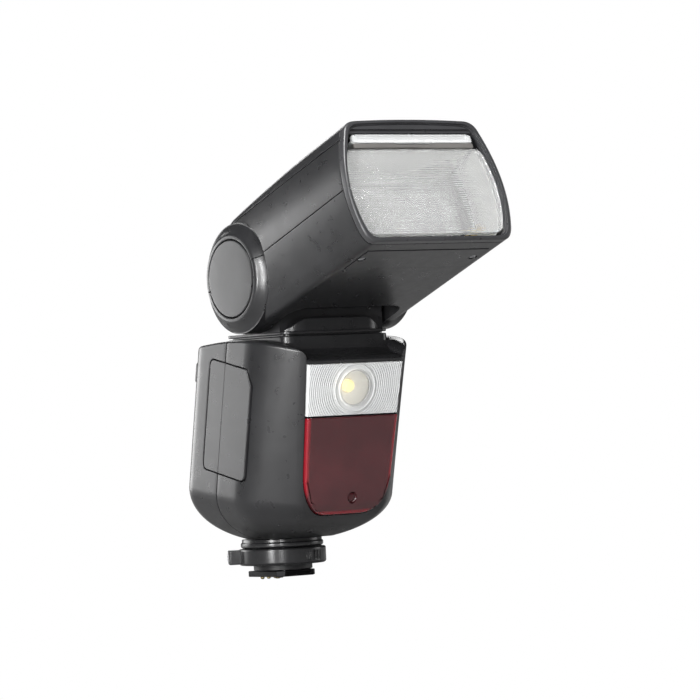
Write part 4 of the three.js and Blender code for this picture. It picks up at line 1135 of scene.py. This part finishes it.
# ---------- head ----------
def head_section(inset):
    """The head's outline across: flat bottom, bulging sides and a slightly crowned top."""
    t, b, side = HEAD_TOP - inset, -HEAD_BOTTOM + inset, BULGE - inset
    low, high = BOTTOM_HALF - inset, TOP_HALF - inset
    under = BOTTOM_CORNER * 0.7
    right = straight((0, b), (low - under, b), 6)
    right += bend((low - under, b), (low, b), (low + FLARE, b + BOTTOM_CORNER), 12)
    right += bend((low + FLARE, b + BOTTOM_CORNER), (side, 3), (high + FLARE, t - TOP_CORNER), 24)
    right += bend((high + FLARE, t - TOP_CORNER), (high, t - CROWN), (high - TOP_CORNER, t - CROWN / 2), 12)
    left_end = (-high + TOP_CORNER, t - CROWN / 2)
    right += bend((high - TOP_CORNER, t - CROWN / 2), (0, t + CROWN * 1.5), left_end, 16)[:9]
    left = [(-x, z) for x, z in right[-2:0:-1]]
    return right + left


def head_ring(inset, distance):
    """The outline at a distance in front of the pivot, lower towards the rear."""
    share = 1 - (1 - min(max(distance, 0) / 60, 1)) ** 2
    fall = REAR_FALL * distance ** 2 if distance < 0 else 0
    top = (HEAD_REAR_TOP + (HEAD_TOP - HEAD_REAR_TOP) * share - fall) / HEAD_TOP
    bottom = (HEAD_BOTTOM - fall) / HEAD_BOTTOM
    return [(x, -distance, z * (top if z > 0 else bottom)) for x, z in head_section(inset)]


def head_form(inset, start, end, edge=0.0):
    """The head's volume between two distances in front of the pivot, its front edge rounded."""
    steps = max(2, round((end - start) / 2.2))
    rings = [head_ring(inset, start + (end - edge - start) * i / steps) for i in range(steps + 1)]
    turns = 6 if edge else 0
    for i in range(1, turns + 1):
        t = math.pi / 2 * i / turns
        rings.append(head_ring(inset + edge * (1 - math.cos(t)), end - edge * (1 - math.sin(t))))
    return stack(rings)


def above_line(rear, front, drop=0.0):
    """Everything above a line that falls or rises from the head's rear to its front."""
    outline = [(40, rear - drop), (-HEAD_LENGTH - 10, front - drop), (-HEAD_LENGTH - 10, 60), (40, 60)]
    return prism("x", outline, -60, 60)


def ear_boss(side):
    """The raised ring round the hinge cap, which slopes into a shallow valley."""
    profile = [(0, 24), (0, 36.4), (CAP_RADIUS + 0.35, 36.4)]
    profile += arc(CAP_RADIUS + 0.85, 37.3, 0.5, 180, 70, 6)
    profile += bend((16.4, 37.75), (17.0, 37.6), (17.6, 37.0), 6)
    profile += bend((17.6, 37.0), (19.6, 34.9), (EAR_RADIUS, 34.2), 12)
    profile += bend((EAR_RADIUS, 34.2), (EAR_RADIUS + 0.05, 33.6), (EAR_RADIUS, 32.4), 5)
    profile += [(EAR_RADIUS, 32.4), (EAR_RADIUS, 24)]
    return turned([(r, side * x) for r, x in profile], "x", None, 160)


def valley(side):
    """A dished ring round the hinge, whose outer edge runs out softly into the head's side."""
    profile = [(12, 34.1), (20.4, 34.1)] + bend((20.4, 34.1), (22.4, 34.5), (23.4, 37.2), 8)
    profile += [(23.4, 37.2), (23.5, 42), (12, 42)]
    return turned([(r, side * x) for r, x in profile], "x", None, 160)


def neck_opening():
    half, front, corner = OPENING_HALF, OPENING_FRONT, OPENING_CORNER
    outline = [(half, 40), (-half, 40)]
    outline += bend((-half, front + corner), (-half, front), (-half + corner, front), 14)
    outline += bend((half - corner, front), (half, front), (half, front + corner), 14)
    outline.append((half, front + corner))
    return prism("z", outline, -40, 0)


def head_shell():
    end = HEAD_LENGTH - BEZEL
    shell = join(head_form(0, -HEAD_REAR, end), rod("x", EAR_RADIUS, -34.4, 34.4, (0, 0), None, 160))
    for side in (-1, 1):
        cut(shell, valley(side))
        join(shell, ear_boss(side))
    cut(shell, head_form(WALL, REAR_WALL + WALL, end + 1))
    cut(shell, rod("x", DRUM_RADIUS + 0.5, -EAR_INNER, EAR_INNER, (0, 0), None, 128))
    cut(shell, block((-EAR_INNER, 4, -40), (EAR_INNER, 40, 40)))
    cut(shell, neck_opening())
    for ends in ((34.9, 45), (-45, -34.9)):
        cut(shell, rod("x", CAP_RADIUS + 0.35, *ends, (0, 0), None, 128))
    return cut(shell, rod("x", AXLE + GAP, -60, 60, (0, 0)))


BASE_HALF, BASE_FROM, BASE_TO, BASE_SCREW = 28, 58, 74.4, (26, -66.7)


def make_head_shells():
    shell = head_shell()
    top = within(duplicate(shell), above_line(SEAM_REAR, SEAM_FRONT))
    upper = within(duplicate(shell), above_line(HEAD_SEAM + GAP / 2, HEAD_SEAM + GAP / 2))
    cut(upper, above_line(SEAM_REAR, SEAM_FRONT, GAP))
    lower = cut(shell, above_line(HEAD_SEAM - GAP / 2, HEAD_SEAM - GAP / 2))
    low = (-BASE_HALF - GAP, -BASE_TO - GAP, -30)
    dip = block(low, (BASE_HALF + GAP, -BASE_FROM + GAP, -HEAD_BOTTOM + 0.9))
    cut(dip, head_form(0.7, 10, 80))
    cut(lower, dip)
    for obj, name, node in ((top, "head_lid", "head_top_cover"),
                            (upper, "head_upper_skin", "head_upper_shell"),
                            (lower, "head_lower_skin", "head_lower_shell")):
        obj.data.transform(HEAD_FRAME)
        finish_piece(obj, name, "head", [node], CASE, edge=0.14)


def make_bezel():
    end = HEAD_LENGTH
    rim = head_form(0, end - BEZEL + GAP, end, 0.8)
    cut(rim, head_form(FRAME, end - BEZEL - 1, end + 1))
    cut(rim, head_form(FRAME - 0.5, end - 0.7, end + 1))
    notch = block((-60, -end - 1, HEAD_SEAM - 0.15), (60, -end + 0.25, HEAD_SEAM + 0.15))
    cut(rim, notch)
    rim.data.transform(HEAD_FRAME)
    finish_piece(rim, "head_rim", "head", ["head_bezel"], RIM, edge=0.16)


def side_at(z, inset):
    """Half width of the head's opening at a height."""
    section = sorted((y, x) for x, y in head_section(inset) if x > 3)
    return float(np.interp(z, [p[0] for p in section], [p[1] for p in section]))


def lens_front(x, z, share):
    """Horizontal ribs in the middle, crossed prisms to both sides, a plain rim all round."""
    front = -HEAD_LENGTH + LENS_RECESS
    if abs(share) > 0.985 or z < LENS_BOTTOM + 0.35 or z > LENS_TOP - 0.35:
        return front - 0.1
    if abs(x) > 18.9:
        across, up = abs((x / 0.72) % 1.0 - 0.5), abs((z / 0.72) % 1.0 - 0.5)
        return front + 0.22 * (across + up)
    return front + 0.2 * abs((z / 0.9) % 1.0 - 0.5)


def make_fresnel():
    corner = 2.4

    def half_at(z):
        half = side_at(z, FRAME + GAP)
        for d in (corner - (z - LENS_BOTTOM), corner - (LENS_TOP - z)):
            if d > 0:
                half -= corner - math.sqrt(max(corner ** 2 - d ** 2, 0))
        return half

    lens = plate(np.linspace(LENS_BOTTOM, LENS_TOP, 250), np.linspace(-1, 1, 381), half_at, lens_front,
                 lambda x, z: -HEAD_LENGTH + LENS_RECESS + LENS_THICK, HEAD_FRAME)
    finish_piece(lens, "flash_lens", "head", ["fresnel_lens"], LENS, edge=0, shading=20)


SHEET_HALF, LIP_HALF, LIP_FRONT, LIP_DEPTH = 25.2, 27.8, 1.1, 1.5
THUMB_RADIUS, THUMB_DEPTH = 24.9, 1.8


def make_wide_panel():
    """The clear pull-out panel; its front edge carries fine teeth and two end tabs."""
    teeth, half = 70, LIP_HALF - 1.8
    edge = [(-half + half * i / teeth, LIP_FRONT + (0.22 if i % 2 else 0)) for i in range(teeth * 2 + 1)]
    back = LIP_FRONT + LIP_DEPTH
    body = prism("z", edge + [(half, back), (-half, back)], 0.2, 1.5, SLOT_FRAME)
    sheet = block((-SHEET_HALF, LIP_FRONT + 0.4, 1.9), (SHEET_HALF, 46, 3), SLOT_FRAME)
    face = block((-half, LIP_FRONT + 0.25, 1.3), (half, back, 3.2), SLOT_FRAME)
    lip = block((-half, LIP_FRONT, 3.0), (half, back, 3.5), SLOT_FRAME)
    join(body, face, sheet, lip)
    for side in (-1, 1):
        x = side * (LIP_HALF - 1.1)
        tab = prism("z", rounded(1.1, 0.75, 0.3, x, LIP_FRONT + 0.75, 4), 0.3, 2.9, SLOT_FRAME)
        join(body, tab, block((x - 0.5, LIP_FRONT + 0.2, 1.2), (x + 0.5, back, 3.4), SLOT_FRAME))
    finish_piece(body, "wide_diffuser", "wide_panel", ["wide_panel"], FROST, edge=0.08)


def make_bounce_card():
    card = block((-SHEET_HALF, LIP_FRONT + 1.2, -0.9), (SHEET_HALF, 44, -0.3), SLOT_FRAME)
    finish_piece(card, "bounce_sheet", "bounce_card", ["bounce_card"], CARD, edge=0.1)
    lip = block((-LIP_HALF, LIP_FRONT + 0.1, -2), (LIP_HALF, LIP_FRONT + LIP_DEPTH, -0.1), SLOT_FRAME)
    notch = rod("y", THUMB_RADIUS, 0, LIP_FRONT + 0.8, (0, THUMB_RADIUS - THUMB_DEPTH), SLOT_FRAME, 160)
    finish_piece(cut(lip, notch), "bounce_grip", "bounce_card", [], GRIP, edge=0.15)


def make_brow():
    """The stepped face between the slot and the top of the rim."""
    end = HEAD_LENGTH
    brow = head_form(FRAME + 0.1, end - BEZEL + 0.4, end - 1.5)
    cut(brow, block((-60, -100, -60), (60, 10, 23.3)))
    upper = within(head_form(FRAME + 0.1, end - 2, end - 0.9), block((-60, -100, 24.7), (60, 10, 60)))
    join(brow, upper)
    brow.data.transform(HEAD_FRAME)
    finish_piece(brow, "slot_brow", "head", [], RIM, edge=0.15)


def make_head_inside():
    half, width = 11.2, 27
    outer = bend((-1, half), (36, 0), (-1, -half), 40) + [(-1, -half)]
    inner = bend((-1, -half + 0.4), (34.4, 0), (-1, half - 0.4), 40) + [(-1, half - 0.4)]
    trough = prism("x", outer + inner, -width, width)
    for side in (-1, 1):
        ends = sorted((side * (width - 0.4), side * width))
        join(trough, prism("x", outer, *ends))
    trough.data.transform(HEAD_FRAME @ Matrix.Translation((0, -CARRIAGE_FRONT + 1.2, 0)))
    body = "zoom_carriage"
    finish_piece(trough, "flash_reflector", body, ["reflector"], MIRROR, edge=0, shading=30)
    half_tube = [(2.2, 25.6), (1.2, 26.4), (1.2, 30.5), (0, 30.5)]
    profile = [(r, -x) for r, x in half_tube[::-1]] + half_tube
    tube = turned(profile, "x", HEAD_FRAME @ Matrix.Translation((0, -CARRIAGE_FRONT + 12, 0)), 48)
    finish_piece(tube, "xenon_tube", body, ["flash_tube"], CLEAR, edge=0, shading=50)
    make_light_box()


def make_light_box():
    """The pale inner walls between the reflector and the lens."""
    start, end = CARRIAGE_FRONT + 0.6, HEAD_LENGTH - LENS_RECESS - LENS_THICK - 0.5
    walls = head_form(2.6, start, end)
    cut(walls, head_form(3.1, start - 1, end + 1))
    roof = block((-40, -end - 1, LENS_TOP + 0.6), (40, -start + 1, 40))
    cut(walls, roof)
    lid = block((-27, -end, LENS_TOP - 0.2), (27, -start, LENS_TOP + 0.3))
    join(walls, lid)
    walls.data.transform(HEAD_FRAME)
    finish_piece(walls, "light_box", "head", [], CARD, edge=0)


def make_bottom_panel():
    slab = block((-BASE_HALF, -BASE_TO, -30), (BASE_HALF, -BASE_FROM, -HEAD_BOTTOM + 0.9))
    panel = cut(within(slab, head_form(-0.2, 10, 80)), head_form(0.4, 10, 80))
    for x in (-BASE_SCREW[0], BASE_SCREW[0]):
        cut(panel, rod("z", 1.7, -30, 0, (x, BASE_SCREW[1])))
    panel.data.transform(HEAD_FRAME)
    finish_piece(panel, "head_base_panel", "head", ["head_bottom_panel"], CASE, edge=0.12)


def make_hinge():
    for name, side in (("left", -1), ("right", 1)):
        profile = [(0, 35.2), (CAP_RADIUS, 35.2), (CAP_RADIUS, CAP_FACE - 0.45)]
        profile += [(CAP_RADIUS - 0.14, CAP_FACE - 0.14), (CAP_RADIUS - 0.45, CAP_FACE)]
        profile += [(7, CAP_FACE + 0.02), (0, CAP_FACE + 0.02)]
        cap = turned([(r, side * x) for r, x in profile], "x", HEAD_FRAME, 160)
        nick = Matrix.Rotation(math.radians(215), 4, "X")
        ends = sorted((side * (CAP_FACE - 0.8), side * (CAP_FACE + 1)))
        cut(cap, block((ends[0], CAP_RADIUS - 0.5, -0.5), (ends[1], CAP_RADIUS + 1, 0.5), HEAD_FRAME @ nick))
        nodes = [f"hinge_cap_{name}"]
        finish_piece(cap, f"hinge_disc_{name}", "head", nodes, CASE_SMOOTH, edge=0)
        place = HEAD_FRAME @ Matrix.Translation((side * BASE_SCREW[0], BASE_SCREW[1], 0))
        screw = turned([(0, -20.9), (1.2, -20.9), (1.4, -20.7), (1.4, -20.4), (0, -20.4)], "z", place, 32)
        for turn in (0, 90):
            spin = place @ Matrix.Rotation(math.radians(turn), 4, "Z")
            cut(screw, block((-0.8, -0.14, -21.4), (0.8, 0.14, -20.65), spin))
        finish_piece(screw, f"base_screw_{name}", "head", [f"bottom_screw_{name}"], STEEL, edge=0.05)


# ---------- the CAD nodes that stay ----------
KEPT = {
    "battery_sleeve": DARK, "zoom_carriage": DARK, "main_capacitor": DARK, "wireless_sensor": DARK,
    "swivel_retainer": STEEL, "tilt_axle": STEEL, "tilt_washer_left": STEEL, "tilt_washer_right": STEEL,
    "guide_rod": STEEL, "zoom_motor": STEEL, "lead_screw": BRASS, "battery_contacts": BRASS,
    "main_board": BOARD, "assist_lamp": RED_KEY,
}


def dress_kept_nodes():
    for name, material in KEPT.items():
        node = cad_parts[name]
        node.data.materials.clear()
        node.data.materials.append(material)
        node.data.polygons.foreach_set("use_smooth", [True] * len(node.data.polygons))
        node.data.set_sharp_from_angle(angle=math.radians(30))
        edges = node.modifiers.new("edges", "BEVEL")
        edges.width = 0.15 * MM
        edges.segments = 2
        edges.limit_method = "ANGLE"
        edges.angle_limit = math.radians(40)


# ---------- studio ----------
TARGET = Vector((0.0377, 0, 0.088))
DISTANCE, FOCAL, SENSOR = 1.595, 204.7, 36
AZIMUTH, ELEVATION, ROLL = math.radians(-35.7), math.radians(-0.9), math.radians(-2.85)


def outward(azimuth, elevation):
    """The unit vector from the object towards that bearing."""
    level = math.cos(elevation)
    return Vector((math.sin(azimuth) * level, -math.cos(azimuth) * level, math.sin(elevation)))


def make_camera():
    data = bpy.data.cameras.new("camera")
    data.lens = FOCAL
    data.sensor_width = SENSOR
    data.clip_start = 0.05
    camera = bpy.data.objects.new("camera", data)
    bpy.context.scene.collection.objects.link(camera)
    back = outward(AZIMUTH, ELEVATION)
    right = Vector((0, 0, 1)).cross(back).normalized()
    turn = Matrix.Rotation(ROLL, 3, back)
    right = turn @ right
    up = back.cross(right)
    turned_by = Matrix((right, up, back)).transposed().to_4x4()
    camera.matrix_world = Matrix.Translation(TARGET + back * DISTANCE) @ turned_by
    bpy.context.scene.camera = camera


# name, bearing and elevation in degrees, distance and size in metres, watts, height aimed at
SOFTBOXES = (
    ("rear_left", -160, 3, 0.5, (0.30, 0.24), 1.3, 0.1),
    ("camera_left", -66, 6, 0.6, (0.07, 0.5), 6, 0.09),
    ("front_left", -38, 4, 0.9, (0.06, 0.5), 3.5, 0.09),
    ("key", -16, 56, 1.2, (0.6, 0.4), 19, 0.09),
    ("right_edge", 75, 12, 1.2, (0.5, 0.8), 3, 0.09),
    ("rear_right", 150, 32, 1.2, (0.6, 0.6), 5, 0.09),
)


def softbox(name, azimuth, elevation, distance, size, power, height):
    data = bpy.data.lights.new(name, "AREA")
    data.shape = "RECTANGLE"
    data.size, data.size_y = size
    data.energy = power
    light = bpy.data.objects.new(name, data)
    bpy.context.scene.collection.objects.link(light)
    direction = outward(math.radians(azimuth), math.radians(elevation))
    light.location = Vector((0, -0.03, height)) + direction * distance
    light.rotation_euler = direction.to_track_quat("Z", "Y").to_euler()


def shown_to_camera(tree, hidden, seen, output):
    """Joins two shaders so that the camera sees one and every other ray meets the other."""
    path = tree.nodes.new("ShaderNodeLightPath")
    mix = tree.nodes.new("ShaderNodeMixShader")
    tree.links.new(path.outputs["Is Camera Ray"], mix.inputs["Fac"])
    tree.links.new(hidden.outputs[0], mix.inputs[1])
    tree.links.new(seen.outputs[0], mix.inputs[2])
    tree.links.new(mix.outputs["Shader"], output.inputs["Surface"])


def floor_paper():
    """Pale paper, which looks as evenly white as the backdrop and takes no shadow that can be seen."""
    material = plastic("floor_paper", (0.3, 0.3, 0.3), 0.9, grain=0, vary=0.01)
    nodes = material.node_tree.nodes
    glow = nodes.new("ShaderNodeEmission")
    glow.inputs["Strength"].default_value = 1.0
    shown_to_camera(material.node_tree, nodes["Principled BSDF"], glow, nodes["Material Output"])
    return material


def make_studio():
    floor_z = cad_box[0][2] - 0.0002
    reach = 3.0
    mesh = bpy.data.meshes.new("floor")
    corners = [(x * reach, y * reach, floor_z) for x, y in ((-1, -1), (1, -1), (1, 1), (-1, 1))]
    mesh.from_pydata(corners, [], [(0, 1, 2, 3)])
    floor = bpy.data.objects.new("floor", mesh)
    bpy.context.scene.collection.objects.link(floor)
    mesh.materials.append(floor_paper())

    world = bpy.data.worlds.new("studio")
    bpy.context.scene.world = world
    world.use_nodes = True
    nodes = world.node_tree.nodes
    seen = nodes["Background"]
    seen.inputs["Color"].default_value = (1, 1, 1, 1)
    seen.inputs["Strength"].default_value = 1.0
    around = nodes.new("ShaderNodeBackground")
    around.inputs["Color"].default_value = (1, 1, 1, 1)
    around.inputs["Strength"].default_value = 0.06
    shown_to_camera(world.node_tree, around, seen, nodes["World Output"])

    for values in SOFTBOXES:
        softbox(*values)
    bpy.context.scene.view_settings.view_transform = "Standard"


make_camera()
make_cases()
make_window()
make_red_panel()
make_lamp()
make_battery()
make_port_cover()
make_rear_controls()
make_foot()
make_neck()
make_head_shells()
make_bezel()
make_fresnel()
make_wide_panel()
make_bounce_card()
make_brow()
make_head_inside()
make_bottom_panel()
make_hinge()
dress_kept_nodes()
make_studio()
